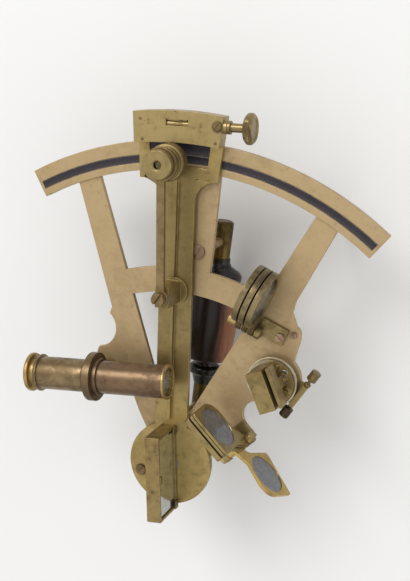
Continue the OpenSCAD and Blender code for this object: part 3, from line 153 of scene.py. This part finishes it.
class Finish(Nodes):
    """A material under construction: a Principled shader and the nodes that feed it."""

    def __init__(self, name):
        self.material = bpy.data.materials.new(name)
        self.material.use_nodes = True
        super().__init__(self.material.node_tree)
        self.shader = self.tree.nodes["Principled BSDF"]

    def place(self):
        return self.node("ShaderNodeTexCoord", output="Object")

    def noise(self, where, scale, detail=4, rough=0.6, bend=0.0):
        return self.node("ShaderNodeTexNoise", None, {"Vector": where, "Scale": scale, "Detail": detail,
                                                      "Roughness": rough, "Distortion": bend})

    def stretched(self, where, turn, scale):
        """The place turned first and scaled after: a small scale draws marks out along the turned axis."""
        turned = self.node("ShaderNodeMapping", None, {"Vector": where, "Rotation": turn})
        return self.node("ShaderNodeVectorMath", {"operation": "MULTIPLY"}, {0: turned, 1: scale})

    def step(self, value, low, high, start=0.0, end=1.0):
        return self.node("ShaderNodeMapRange", {"interpolation_type": "SMOOTHSTEP"},
                         {"Value": value, "From Min": low, "From Max": high, "To Min": start, "To Max": end})

    def mix(self, factor, first, second):
        return self.node("ShaderNodeMix", {"data_type": "RGBA"}, {0: factor, 6: first, 7: second}, output=2)

    def edge(self, radius):
        """1 along rounded-over edges, 0 on the flats."""
        soft = self.node("ShaderNodeBevel", {"samples": 4}, {"Radius": radius})
        flat = self.node("ShaderNodeNewGeometry", output="Normal")
        along = self.node("ShaderNodeVectorMath", {"operation": "DOT_PRODUCT"}, {0: soft, 1: flat},
                          output="Value")
        return self.step(along, 0.995, 0.90)

    def milling(self, where, middle, axis, ridges, start):
        """Heights of the ridges round a milled edge, which lies outside the radius start from its axis."""
        turn = Vector(axis).rotation_difference(Vector((0, 0, 1))).to_euler()
        from_middle = self.node("ShaderNodeVectorMath", {"operation": "SUBTRACT"}, {0: where, 1: middle})
        flat = {"Vector": self.stretched(from_middle, turn, (1, 1, 1))}
        x = self.node("ShaderNodeSeparateXYZ", None, flat, output="X")
        y = self.node("ShaderNodeSeparateXYZ", None, flat, output="Y")
        wave = self.node("ShaderNodeMath", {"operation": "SINE"}, {0: x.maths("ARCTAN2", y, x) * ridges})
        return (wave * 0.5 + 0.5) * (x * x + y * y > start * start)

    def feed(self, **sockets):
        for name, value in sockets.items():
            socket = self.shader.inputs[name.replace("_", " ")]
            if isinstance(value, Wire):
                self.tree.links.new(value.socket, socket)
            else:
                socket.default_value = value

    def relief(self, height, depth):
        bump = self.node("ShaderNodeBump", None, {"Height": height, "Distance": depth, "Strength": 1.0})
        self.feed(Normal=bump)


def aged_brass(name, bright, dull, stain, rough=0.42, metal=0.75, edge_wear_and_sheen=0.6, patch=0.5, streak=0.5, speck=0.55,
               lie=0.5, dirt_and_shade_rings=(), milled=None, dark_from=None, dark_to=None):
    """Brass that has lost its lacquer: cloudy tarnish, dark spots, fine scratches, and edges painted bright,
    partly rubbed brass and partly a painted highlight.

    The scratches lie at the angle lie to the Y axis. Dirt round the screws, and painted shade round a screw
    head on some pieces, is darkened round given places, out to given radii. A milled edge is given by its
    middle, axis, number of ridges and inner radius.
    The brass is made darker between the distances dark_from and dark_to from the pivot.
    """
    finish = Finish(name)
    where = finish.place()
    clouds = finish.noise(where, 34, 5, 0.62, 0.4)
    mottle = finish.noise(where, 210, 6, 0.68)
    grain = finish.noise(where, 1900, 3, 0.7)
    scratch = finish.noise(finish.stretched(where, (0, 0, lie), (1500, 26, 1500)), 1, 3, 0.6)
    cross = finish.noise(finish.stretched(where, (0, 0, lie + 0.12), (700, 18, 700)), 1, 3, 0.6)
    tarnish = finish.step(clouds * 0.55 + mottle * 0.45, 0.42, 0.62)
    spots = finish.step(mottle * 0.65 + grain * 0.35, 0.575, 0.66)
    scored = finish.step(scratch * 0.5 + cross * 0.5, 0.56, 0.66)
    edge = finish.edge(0.5 * MM)
    colour = finish.mix(tarnish * patch, bright, dull)
    colour = finish.mix(spots * speck, colour, stain)
    colour = finish.mix(scored * streak * 0.35, colour, bright)
    # A darker band on the arm, between dark_from and dark_to from the pivot.
    if dark_from:
        pivot = finish.node("ShaderNodeVectorMath", {"operation": "LENGTH"}, {0: where}, output="Value")
        dark_band = finish.step(pivot, dark_from, dark_from + 14 * MM)
        dark_band = dark_band * finish.step(pivot, dark_to, dark_to - 40 * MM)
        colour = finish.mix(dark_band * 0.42, colour, stain)
    # Darkened circles: dirt round screws, and on some pieces painted shade round a screw head.
    for x, y, radius in dirt_and_shade_rings:
        away = finish.node("ShaderNodeVectorMath", {"operation": "DISTANCE"},
                           {0: finish.stretched(where, (0, 0, 0), (1, 1, 0)), 1: (x, y, 0)}, output="Value")
        dirt_and_shade = finish.step(away + (mottle - 0.5) * (2 * MM), radius + 1.6 * MM, radius)
        colour = finish.mix(dirt_and_shade * 0.8, colour, stain)
    # Edges lightened: partly rubbed bright brass, partly a painted highlight along the edges.
    colour = finish.mix(edge * edge_wear_and_sheen * (1.15 - tarnish * 0.5), colour, bright)
    finish.feed(Base_Color=colour, Metallic=metal,
                Roughness=finish.step(tarnish * 0.6 + mottle * 0.4, 0.2, 0.9, rough - 0.07, rough + 0.13))
    height = grain * 0.35 + mottle * 0.5 - scored * 0.25
    if milled:
        height = height + finish.milling(where, *milled) * MILLED_DEPTH
    finish.relief(height, RELIEF_DEPTH)
    return finish.material


def placed(name, work, finish, body, node, stands_for=True):
    """Turns a finished bmesh into a piece with the given finish, which rides on a body beside a CAD node.

    The piece stands for that node, or is a small thing that sits on it.
    """
    bmesh.ops.recalc_face_normals(work, faces=work.faces)
    mesh = bpy.data.meshes.new(name)
    work.to_mesh(mesh)
    work.free()
    mesh.materials.append(finish)
    mesh.shade_smooth()
    mesh.set_sharp_from_angle(angle=SHARP_ANGLE)
    piece = bpy.data.objects.new(name, mesh)
    bpy.context.scene.collection.objects.link(piece)
    weighted = piece.modifiers.new("Flat faces stay flat", "WEIGHTED_NORMAL")
    weighted.keep_sharp = True
    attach(piece, body)
    if stands_for:
        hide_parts(node)


def dress(finish, width, *names):
    """Gives each named CAD node a piece that stands for it: its mesh, welded, with the edges rounded."""
    for name in names:
        node = frame["nodes"][name]
        work = bmesh.new()
        work.from_mesh(node.data)
        bmesh.ops.remove_doubles(work, verts=work.verts, dist=SEAM_GAP)
        bmesh.ops.dissolve_limit(work, angle_limit=FLAT_ANGLE, verts=work.verts, edges=work.edges,
                                 use_dissolve_boundaries=False, delimit=set())
        bmesh.ops.triangulate(work, faces=work.faces)
        corners = [edge for edge in work.edges if edge.is_manifold and edge.calc_face_angle() > SHARP_ANGLE]
        bmesh.ops.bevel(work, geom=corners, offset=width, offset_type="OFFSET", affect="EDGES", segments=2,
                        profile=0.5, material=-1, clamp_overlap=False)
        placed(name + "_dressed", work, finish, node["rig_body"], name)


frame_brass = aged_brass("Aged frame brass", linear(*FRAME_TAN), linear(*FRAME_DARK), linear(*FRAME_STAIN),
                         rough=0.44, metal=0.6, edge_wear_and_sheen=0.75, patch=0.24)
dress(frame_brass, FRAME_EDGE, "frame")

# Silver strip and vernier
# A thin silver strip let into the limb, gone purple-black, with the divisions cut into it.
# The tarnish is rubbed through to dull silver here and there along both sides.
STRIP_R = 180 * MM
STRIP_HALF = 2.3 * MM
VERNIER_IN = STRIP_R + 2.55 * MM
VERNIER_OUT = STRIP_R + 9.45 * MM
DIVISIONS_PER_DEGREE = 6
LONG_LINES_PER_DEGREE = 2
DIVISION_WIDTH = 0.22
DIVISION_LENGTH = 0.34
LONG_WIDTH = 0.1
LONG_LENGTH = 0.52


def divided_silver(name, inner, outer):
    """Blackened silver between two radii, with a row of fine divisions cut along its inner side."""
    finish = Finish(name)
    where = finish.place()
    split = {"Vector": where}
    x = finish.node("ShaderNodeSeparateXYZ", None, split, output="X")
    y = finish.node("ShaderNodeSeparateXYZ", None, split, output="Y")
    radius = finish.node("ShaderNodeMath", {"operation": "SQRT"}, {0: x * x + y * y})
    angle = x.maths("ARCTAN2", x, y) * (180 / math.pi) + 90
    across = (radius - inner) / (outer - inner)
    blotch = finish.noise(where, 420, 6, 0.7, 0.6)
    cloud = finish.noise(where, 90, 4, 0.6)
    rim = finish.step(across.maths("ABSOLUTE", across - 0.5, 0), 0.36, 0.5)
    rubbed = finish.step(blotch * 0.6 + cloud * 0.25 + rim * 0.32, 0.54, 0.70)
    fine = ((angle * DIVISIONS_PER_DEGREE) % 1 < DIVISION_WIDTH) * (across < DIVISION_LENGTH)
    long = ((angle * LONG_LINES_PER_DEGREE) % 1 < LONG_WIDTH) * (across < LONG_LENGTH)
    cut = fine.maths("MAXIMUM", fine, long)
    colour = finish.mix(cloud, linear(34, 31, 38), linear(56, 51, 56))
    colour = finish.mix(rubbed * 0.7, colour, linear(140, 128, 112))
    colour = finish.mix(cut * 0.32, colour, linear(150, 142, 130))
    finish.feed(Base_Color=colour, Metallic=0.55, Roughness=finish.step(rubbed, 0, 1, 0.5, 0.38))
    finish.relief(blotch * 0.4 - cut, 0.04 * MM)
    return finish.material


strip_silver = divided_silver("Divided silver strip", STRIP_R - STRIP_HALF, STRIP_R + STRIP_HALF)
dress(strip_silver, 0.06 * MM, "arc_scale")
vernier_silver = divided_silver("Divided silver vernier", VERNIER_IN, VERNIER_OUT)
dress(vernier_silver, 0.2 * MM, "vernier")

# Back of the frame
# Turned brass feet, the two pillars of the handle and the guide of the rising piece, with the
# pivot's axle and the handle's rod in steel. They are seldom touched, so the brass keeps a
# browner, more even tarnish than on the face.
back_brass = aged_brass("Brown back brass", linear(168, 142, 96), linear(112, 88, 56), linear(70, 54, 36),
                        rough=0.42, metal=0.7, edge_wear_and_sheen=0.4, patch=0.7)
dull_steel = aged_brass("Dull steel", linear(150, 146, 138), linear(92, 86, 80), linear(74, 52, 38),
                        rough=0.4, metal=0.85, edge_wear_and_sheen=0.5, patch=0.7)
dress(back_brass, 0.3 * MM, "pivot_foot", "frame_feet", "handle_pillars", "rising_guide")
dress(dull_steel, 0.15 * MM, "pivot_axle", "handle_rod")

# Index arm
# A flat bar with a round disc at the pivot, a rib along it and a windowed head over the arc.
# It is an olive-brown, cleaner alloy than the frame, with file-straight edges painted bright as rubbed
# brass and a painted highlight. The post of the magnifier and the block of the clamp are of the same brass.
ARM_OLIVE = (162, 141, 88)
ARM_DARK = (116, 97, 56)
ARM_STAIN = (66, 54, 34)
DISC_SCREW = (-17.4 * MM, -8.6 * MM, 2.9 * MM)
DARK_BAND_FROM = 74 * MM
DARK_BAND_TO = 200 * MM
arm_brass = aged_brass("Olive arm brass", linear(*ARM_OLIVE), linear(*ARM_DARK), linear(*ARM_STAIN),
                       rough=0.38, metal=0.7, edge_wear_and_sheen=0.8, patch=0.5, dirt_and_shade_rings=(DISC_SCREW,),
                       dark_from=DARK_BAND_FROM, dark_to=DARK_BAND_TO)
dress(arm_brass, 0.25 * MM, "index_arm", "swivel_post", "clamp_block")

# Box of the slow motion
# A brass cover on the head of the arm, with a window over the nut of the tangent screw. A large
# slotted screw and three small pins hold it. Tarnish has speckled it, darkest round the large screw.
BOX_SCREW = (6.3 * MM, 201.3 * MM, 2.4 * MM)
box_brass = aged_brass("Speckled box brass", linear(156, 137, 90), linear(118, 100, 62), linear(58, 46, 28),
                       rough=0.4, metal=0.7, edge_wear_and_sheen=0.9, patch=0.5, speck=0.9, dirt_and_shade_rings=(BOX_SCREW,))
dress(box_brass, 0.14 * MM, "tangent_box")

# Screws
# Slotted brass screws with flat, slightly chamfered heads, and the turned bush of the pivot. They are
# bright, rosy or dark, by how often a driver or a hand has been on them. The smallest sit on the box,
# and on the nut under its window, and their places are in mm across and along the arm.
SCREW_EDGE = 0.18 * MM
ARM_REST = math.radians(5.2)
BOX_PINS = ((-21.0, 202.0), (-19.6, 190.8), (23.4, 190.9))
PIN_R = 0.9 * MM
PIN_H = 0.25 * MM
PIN_TURN = 0.7
NUT_SCREW = (2.2, 200.9)
NUT_SCREW_R = 1.5 * MM
NUT_SCREW_H = 0.5 * MM
NUT_SCREW_TURN = 0.4
HEAD_SIDES = 32
HALF_SLOT = math.asin(0.14)
bright_brass = aged_brass("Handled brass", linear(178, 152, 96), linear(128, 102, 60), linear(76, 58, 36),
                          rough=0.33, metal=0.85, edge_wear_and_sheen=0.8, patch=0.6)
rosy_brass = aged_brass("Rosy screw brass", linear(158, 131, 108), linear(112, 88, 70), linear(62, 48, 40),
                        rough=0.36, metal=0.8, edge_wear_and_sheen=0.9, patch=0.7)
dark_brass = aged_brass("Dark screw brass", linear(124, 104, 70), linear(84, 68, 44), linear(46, 38, 26),
                        rough=0.36, metal=0.8, edge_wear_and_sheen=0.9, patch=0.7)
dress(rosy_brass, SCREW_EDGE, "frame_screws")
dress(bright_brass, SCREW_EDGE, "pivot_bush")
dress(dark_brass, SCREW_EDGE, "arm_screws", "loupe_pivot_screw")


def prism(work, outline, low, high):
    """A straight-sided solid over an outline, from the height low to the height high."""
    ends = [work.faces.new([work.verts.new((x, y, z)) for x, y in outline]) for z in (low, high)]
    bmesh.ops.bridge_loops(work, edges=[edge for end in ends for edge in end.edges])


def screw_head(work, place, base, radius, height, turn):
    """A slotted head on the arm: a disc with two half discs on it, the slot left open between them."""
    made = bmesh.new()
    angles = [i * math.tau / HEAD_SIDES for i in range(HEAD_SIDES)]
    prism(made, [(radius * math.cos(t), radius * math.sin(t)) for t in angles], 0, height / 2)
    for start in (HALF_SLOT, math.pi + HALF_SLOT):
        steps = HEAD_SIDES // 2
        angles = [start + i * (math.pi - 2 * HALF_SLOT) / steps for i in range(steps + 1)]
        prism(made, [(radius * math.cos(t), radius * math.sin(t)) for t in angles], height / 2, height)
    middle = Matrix.Rotation(ARM_REST, 4, "Z") @ Vector((*place, 0)) * MM
    made.transform(Matrix.Translation((middle.x, middle.y, base)) @ Matrix.Rotation(turn, 4, "Z"))
    head = bpy.data.meshes.new("head")
    made.to_mesh(head)
    made.free()
    work.from_mesh(head)


work = bmesh.new()
for place in BOX_PINS:
    screw_head(work, place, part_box("tangent_box")[1].z, PIN_R, PIN_H, PIN_TURN)
placed("box_pins", work, dark_brass, "arm", "tangent_box", stands_for=False)
work = bmesh.new()
screw_head(work, NUT_SCREW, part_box("clamp_block")[1].z, NUT_SCREW_R, NUT_SCREW_H, NUT_SCREW_TURN)
placed("nut_screw", work, dark_brass, "clamp", "clamp_block", stands_for=False)

# Mirrors
# The index mirror sits in a shallow brass box open to the right, held by two small clips, and the
# horizon mirror in a box on a half-round stand, turned by a bar and a spindle with two capstan heads.
# The silvering of both has gone grey and blotched at the edges.
MIRROR_EDGE = 0.25 * MM
# The lower capstan head is darkened by a ring of painted shade.
LOWER_CAPSTAN_SHADE = (64.9 * MM, 47.7 * MM, 4.6 * MM)
mirror_brass = aged_brass("Mirror frame brass", linear(142, 122, 78), linear(100, 84, 50), linear(58, 48, 30),
                          rough=0.38, metal=0.72, edge_wear_and_sheen=1.0, patch=0.7, speck=0.9)


def old_mirror(name):
    """Glass silvered at the back, the silver grey and eaten away in spots."""
    finish = Finish(name)
    where = finish.place()
    cloud = finish.noise(where, 120, 6, 0.65, 0.5)
    spot = finish.noise(where, 900, 4, 0.7)
    eaten = finish.step(cloud * 0.6 + spot * 0.4, 0.53, 0.70)
    colour = finish.mix(eaten, linear(172, 174, 166), linear(66, 66, 58))
    finish.feed(Base_Color=colour, Metallic=0.9, Roughness=finish.step(eaten, 0, 1, 0.08, 0.35),
                Coat_Weight=1.0)
    finish.shader.inputs["Coat Roughness"].default_value = 0.03
    return finish.material


dress(mirror_brass, MIRROR_EDGE, "index_mirror_frame", "horizon_mirror_frame")
grimy_brass = aged_brass("Grimy brass", linear(122, 104, 66), linear(72, 58, 36), linear(34, 27, 17),
                         rough=0.4, metal=0.7, edge_wear_and_sheen=0.9, patch=0.9, dirt_and_shade_rings=(LOWER_CAPSTAN_SHADE,))
pale_brass = aged_brass("Pale base brass", linear(184, 174, 148), linear(148, 132, 102), linear(80, 68, 48),
                        rough=0.34, metal=0.75, edge_wear_and_sheen=1.0, patch=0.6)
dress(grimy_brass, MIRROR_EDGE, "mirror_clips", "adjusting_spindle")
dress(pale_brass, MIRROR_EDGE, "horizon_base")
dress(arm_brass, MIRROR_EDGE, "adjusting_bar")
dress(old_mirror("Old silvered glass"), 0.2 * MM, "index_mirror_glass", "horizon_mirror_glass")

# Spring of the horizon mirror
# A steel wire bent like an S, which lies on the stand beside the mirror's plate, between its two
# screws. It runs from one end to the other of the line given below, in mm, and sways to both sides.
SPRING_FROM = (60.6, 72.9, 69.6)
SPRING_RUN = (3.6, -6.4, 0)
SPRING_SIDE = (0.87, 0.49, 0)
SPRING_SWAY = 2.2
SPRING_STEPS = 40
WIRE_R = 0.55 * MM
WIRE_SIDES = 10


def bent_wire(work, points):
    """A round wire along points that lie in one level plane: a circle at each, bridged to the next."""
    upright = Vector((0, 0, 1))
    last = len(points) - 1
    circles = []
    for i, point in enumerate(points):
        along = (points[min(i + 1, last)] - points[max(i - 1, 0)]).normalized()
        facing = Matrix((upright, along.cross(upright), along)).transposed().to_4x4()
        circle = bmesh.ops.create_circle(work, cap_ends=i in (0, last), segments=WIRE_SIDES,
                                         radius=WIRE_R, matrix=Matrix.Translation(point) @ facing)
        circles.append(list(dict.fromkeys(edge for vert in circle["verts"] for edge in vert.link_edges)))
    for first, second in zip(circles, circles[1:]):
        bmesh.ops.bridge_loops(work, edges=first + second)


bend = []
for i in range(SPRING_STEPS + 1):
    part = i / SPRING_STEPS
    sway = SPRING_SWAY * math.sin(part * math.tau)
    bend.append((Vector(SPRING_FROM) + Vector(SPRING_RUN) * part + Vector(SPRING_SIDE) * sway) * MM)
work = bmesh.new()
bent_wire(work, bend)
placed("horizon_spring", work, dull_steel, "horizon_mirror", "horizon_base", stands_for=False)

# Slow motion
# The long tangent screw with its milled knob, which moves the arm finely once it is clamped, the
# clamp screw behind the limb, and the screw that lifts the telescope. All are turned brass.
KNOB_RIDGES = 90
KNOB_R = 8.7 * MM
KNOB_RIM = KNOB_R - 0.9 * MM
screw_brass = aged_brass("Speckled screw brass", linear(150, 130, 86), linear(110, 92, 58),
                         linear(64, 52, 34), rough=0.38, metal=0.75, edge_wear_and_sheen=0.7, patch=0.8)
low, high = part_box("tangent_screw")
knob_milling = ((low + high) / 2, (math.cos(ARM_REST), math.sin(ARM_REST), 0), KNOB_RIDGES, KNOB_RIM)
knob_brass = aged_brass("Milled knob brass", linear(134, 116, 78), linear(96, 80, 50), linear(56, 46, 30),
                        rough=0.38, metal=0.75, edge_wear_and_sheen=0.7, patch=0.8, milled=knob_milling)
dress(screw_brass, 0.25 * MM, "clamp_screw", "rising_screw")
dress(knob_brass, 0.25 * MM, "tangent_screw")

# Magnifier
# A turned barrel in the ring of its own arm, with a milled foot, a flat cap and a small eye hole.
# The arm is flat brass, darkened as painted shade, and turns about a screw in the post on the index arm.
FOOT_RIDGES = 110
FOOT_R = 10.6 * MM
FOOT_RIM = FOOT_R - 0.5 * MM
# The magnifier's arm gets a darker copy of the arm brass: painted shade.
shaded_loupe_arm_brass = aged_brass("Shaded arm brass", linear(132, 112, 74), linear(92, 76, 48), linear(54, 44, 28),
                       rough=0.38, metal=0.7, edge_wear_and_sheen=0.9, patch=0.6)
low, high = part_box("loupe_barrel")
foot_milling = ((low + high) / 2, (0, 0, 1), FOOT_RIDGES, FOOT_RIM)
loupe_brass = aged_brass("Milled magnifier brass", linear(146, 128, 84), linear(104, 88, 56),
                         linear(66, 54, 34), rough=0.38, metal=0.7, edge_wear_and_sheen=0.6, patch=0.7,
                         milled=foot_milling)
dress(shaded_loupe_arm_brass, 0.22 * MM, "loupe_arm")
dress(loupe_brass, 0.22 * MM, "loupe_barrel")

# Telescope
# Drawn brass tubes of a rosy brown, with bright bands at both ends and a dark collar that holds
# them to the rising piece. The scratches run along the tubes, which lie askew to the frame.
TUBE_LIE = math.radians(90 - 8.86)
tube_brass = aged_brass("Rosy tube brass", linear(114, 92, 68), linear(84, 62, 44), linear(52, 40, 29),
                        rough=0.4, metal=0.7, edge_wear_and_sheen=1.0, patch=0.8, streak=1.6, lie=TUBE_LIE)
draw_brass = aged_brass("Olive tube brass", linear(136, 117, 86), linear(98, 80, 54), linear(58, 46, 30),
                        rough=0.36, metal=0.8, edge_wear_and_sheen=0.8, patch=0.8, streak=1.2, lie=TUBE_LIE)
collar_brass = aged_brass("Dark collar brass", linear(110, 92, 64), linear(78, 62, 42), linear(48, 38, 26),
                          rough=0.4, metal=0.7, edge_wear_and_sheen=1.0, patch=0.8)
dress(tube_brass, 0.2 * MM, "telescope_tube", "adapter_ring")
dress(draw_brass, 0.2 * MM, "draw_tube")
dress(collar_brass, 0.3 * MM, "telescope_collar")
dress(bright_brass, 0.3 * MM, "objective_cell", "eyepiece_cup")

# Handle
# A turned mahogany grip on a steel rod behind the frame, between brass ferrules and fittings of
# turned metal with a black lacquer. The grip is polished, and its right side is painted paler as painted
# light.
# The ferrules' brass is darkened as painted shade.
shaded_ferrule_brass = aged_brass("Shaded ferrule brass", linear(104, 84, 40), linear(62, 50, 26), linear(34, 27, 15),
                           rough=0.36, metal=0.8, edge_wear_and_sheen=0.9, patch=0.8)
dress(shaded_ferrule_brass, 0.3 * MM, "handle_ferrules")


def turned_wood(name):
    """Dark polished mahogany, its grain along the handle."""
    finish = Finish(name)
    where = finish.place()
    grain = finish.noise(finish.stretched(where, (0, 0, 0), (900, 22, 900)), 1, 6, 0.6, 0.6)
    figure = finish.noise(finish.stretched(where, (0, 0, 0), (120, 14, 120)), 1, 3, 0.5, 1.2)
    pores = finish.noise(finish.stretched(where, (0, 0, 0), (3200, 90, 3200)), 1, 2, 0.5)
    side = finish.node("ShaderNodeSeparateXYZ", None, {"Vector": where}, output="X")
    colour = finish.mix(figure, linear(26, 13, 7), linear(14, 8, 5))
    # The right side is painted paler: painted light on the grip.
    colour = finish.mix(finish.step(side + figure * (8 * MM), 12 * MM, 19 * MM), colour, linear(142, 88, 54))
    colour = finish.mix(finish.step(grain, 0.45, 0.7) * 0.25, colour, linear(70, 34, 18))
    colour = finish.mix(finish.step(pores, 0.6, 0.7) * 0.7, colour, linear(18, 10, 7))
    finish.feed(Base_Color=colour, Roughness=finish.step(grain, 0.3, 0.8, 0.32, 0.46), Coat_Weight=0.12)
    finish.shader.inputs["Coat Roughness"].default_value = 0.2
    finish.shader.inputs["Specular IOR Level"].default_value = 0.3
    finish.relief(grain * 0.5 - pores * 0.5, 0.06 * MM)
    return finish.material


def black_lacquer(name):
    """Black lacquer on turned metal, rubbed brown at the edges."""
    finish = Finish(name)
    where = finish.place()
    cloud = finish.noise(where, 150, 5, 0.65)
    edge = finish.edge(0.6 * MM)
    colour = finish.mix(cloud, linear(12, 11, 10), linear(26, 22, 18))
    colour = finish.mix(edge * 0.5, colour, linear(96, 74, 46))
    finish.feed(Base_Color=colour, Roughness=finish.step(cloud, 0.3, 0.7, 0.22, 0.36))
    finish.shader.inputs["Specular IOR Level"].default_value = 0.35
    finish.relief(cloud, 0.05 * MM)
    return finish.material


dress(turned_wood("Polished mahogany"), 0.3 * MM, "handle_grip")
dress(black_lacquer("Black lacquer"), 0.3 * MM, "handle_fittings")

# Shades and lenses
# Square and round brass frames, each holding a disc of tinted glass in a stepped seat, fold about
# the pin of a bracket. The lenses of the magnifier and of the telescope are clear.


def tinted_glass(name, tint, through):
    """Old tinted glass, a little dusty, darkest where it is thickest."""
    finish = Finish(name)
    where = finish.place()
    dust = finish.noise(where, 260, 6, 0.7)
    colour = finish.mix(finish.step(dust, 0.4, 0.8), tint, linear(150, 146, 140))
    finish.feed(Base_Color=colour, Roughness=finish.step(dust, 0.3, 0.8, 0.06, 0.22), IOR=1.5,
                Transmission_Weight=through, Coat_Weight=0.3)
    return finish.material


shade_brass = aged_brass("Shade frame brass", linear(146, 128, 84), linear(98, 82, 52), linear(54, 44, 28),
                         rough=0.36, metal=0.75, edge_wear_and_sheen=0.9, patch=0.8)
bronze = aged_brass("Dark shade bronze", linear(134, 118, 84), linear(74, 62, 42), linear(40, 33, 24),
                    rough=0.36, metal=0.75, edge_wear_and_sheen=1.0, patch=0.9, streak=1.2)
# The turned-out shade gets a brighter copy of the shade brass: painted light.
lit_shade_brass = aged_brass("Lit shade brass", linear(184, 156, 90), linear(136, 112, 64),
                          linear(74, 60, 36), rough=0.34, metal=0.8, edge_wear_and_sheen=1.0, patch=0.5)
dress(lit_shade_brass, 0.25 * MM, "index_shade_1")
dress(shade_brass, 0.25 * MM, "index_shade_2", "index_shade_3", "index_shade_4")
dress(bronze, 0.25 * MM, "horizon_shade_1", "horizon_shade_2", "horizon_shade_3")
dress(shade_brass, 0.3 * MM, "index_shade_bracket", "horizon_shade_bracket")
dress(bright_brass, 0.15 * MM, "index_shade_pin", "horizon_shade_pin")


def glaze(glass, *names):
    """Gives the named CAD discs a glass, and leaves their shape as it is."""
    for name in names:
        frame["nodes"][name].data.materials[0] = glass


glaze(tinted_glass("Grey shade glass", linear(104, 108, 114), 0.5),
      "index_glass_1", "index_glass_2", "index_glass_4", "horizon_glass_1", "horizon_glass_3")
glaze(tinted_glass("Brown shade glass", linear(74, 58, 46), 0.4), "index_glass_3", "horizon_glass_2")
glaze(tinted_glass("Lens glass", linear(190, 205, 205), 0.9), "loupe_lens", "objective_lens", "eyepiece_lens")

# Floor, lamps and camera
# The instrument lies face up on a plain pale floor, and the camera looks down at it from where
# the photograph was taken. One broad soft lamp stands at the upper left, a weaker one on the right.
CAMERA_AT = Vector((207.83, 276.67, 681.76)) * MM
CAMERA_RIGHT = Vector((0.934135, 0.121008, -0.335780))
CAMERA_UP = Vector((-0.196062, 0.960094, -0.199445))
CAMERA_BACK = Vector((0.298246, 0.252142, 0.920583))
FOCAL_OVER_HEIGHT = 1178.29 / 581
SENSOR = 36
AIM = Vector((0, 95, 60)) * MM
FLOOR_SIDE = 6.0
WALL_TOP = 0.75
WALL_LIGHT = 1.12

work = bmesh.new()
bmesh.ops.create_grid(work, x_segments=4, y_segments=4, size=FLOOR_SIDE / 2)
mesh = bpy.data.meshes.new("Floor")
work.to_mesh(mesh)
work.free()
floor = bpy.data.objects.new("Floor", mesh)
bpy.context.scene.collection.objects.link(floor)
paper = Finish("Pale floor")
soft = paper.noise(paper.place(), 3, 3, 0.5)
paper.feed(Base_Color=paper.mix(soft, linear(214, 214, 213), linear(218, 218, 217)), Roughness=0.7)
mesh.materials.append(paper.material)


def lamp(name, right, up, back, size, power, colour):
    """A square soft lamp aimed at the instrument, placed by the camera's own directions."""
    data = bpy.data.lights.new(name, "AREA")
    data.size = size
    data.energy = power
    data.color = colour
    light = bpy.data.objects.new(name, data)
    light.location = AIM + CAMERA_RIGHT * right + CAMERA_UP * up + CAMERA_BACK * back
    light.rotation_euler = (AIM - light.location).to_track_quat("-Z", "Y").to_euler()
    bpy.context.scene.collection.objects.link(light)


lamp("Key", -1.65, 1.65, 2.2, 1.6, 52, (1.0, 0.99, 0.975))
lamp("Fill", 2.4, -0.5, 2.0, 2.2, 22, (0.97, 0.98, 1.0))

world = bpy.data.worlds.new("Studio")
bpy.context.scene.world = world
world.use_nodes = True
studio = Nodes(world.node_tree)
height = studio.node("ShaderNodeSeparateXYZ", None, {"Vector": studio.node("ShaderNodeTexCoord")}, output="Z")
level = studio.node("ShaderNodeMapRange", {"interpolation_type": "SMOOTHSTEP"},
                    {"Value": height, "From Min": 0.0, "From Max": WALL_TOP})
walls = studio.node("ShaderNodeMix", {"data_type": "RGBA"},
                    {0: level, 6: linear(150, 144, 138), 7: linear(250, 250, 250)}, output=2)
background = world.node_tree.nodes["Background"]
world.node_tree.links.new(walls.socket, background.inputs["Color"])
background.inputs["Strength"].default_value = WALL_LIGHT

lens = bpy.data.cameras.new("Photograph")
lens.sensor_fit = "VERTICAL"
lens.sensor_height = SENSOR
lens.lens = SENSOR * FOCAL_OVER_HEIGHT
lens.clip_end = 20
camera = bpy.data.objects.new("Photograph", lens)
turn = Matrix((CAMERA_RIGHT, CAMERA_UP, CAMERA_BACK)).transposed().to_4x4()
camera.matrix_world = Matrix.Translation(CAMERA_AT) @ turn
bpy.context.scene.collection.objects.link(camera)
bpy.context.scene.camera = camera
bpy.context.scene.view_settings.view_transform = "Standard"
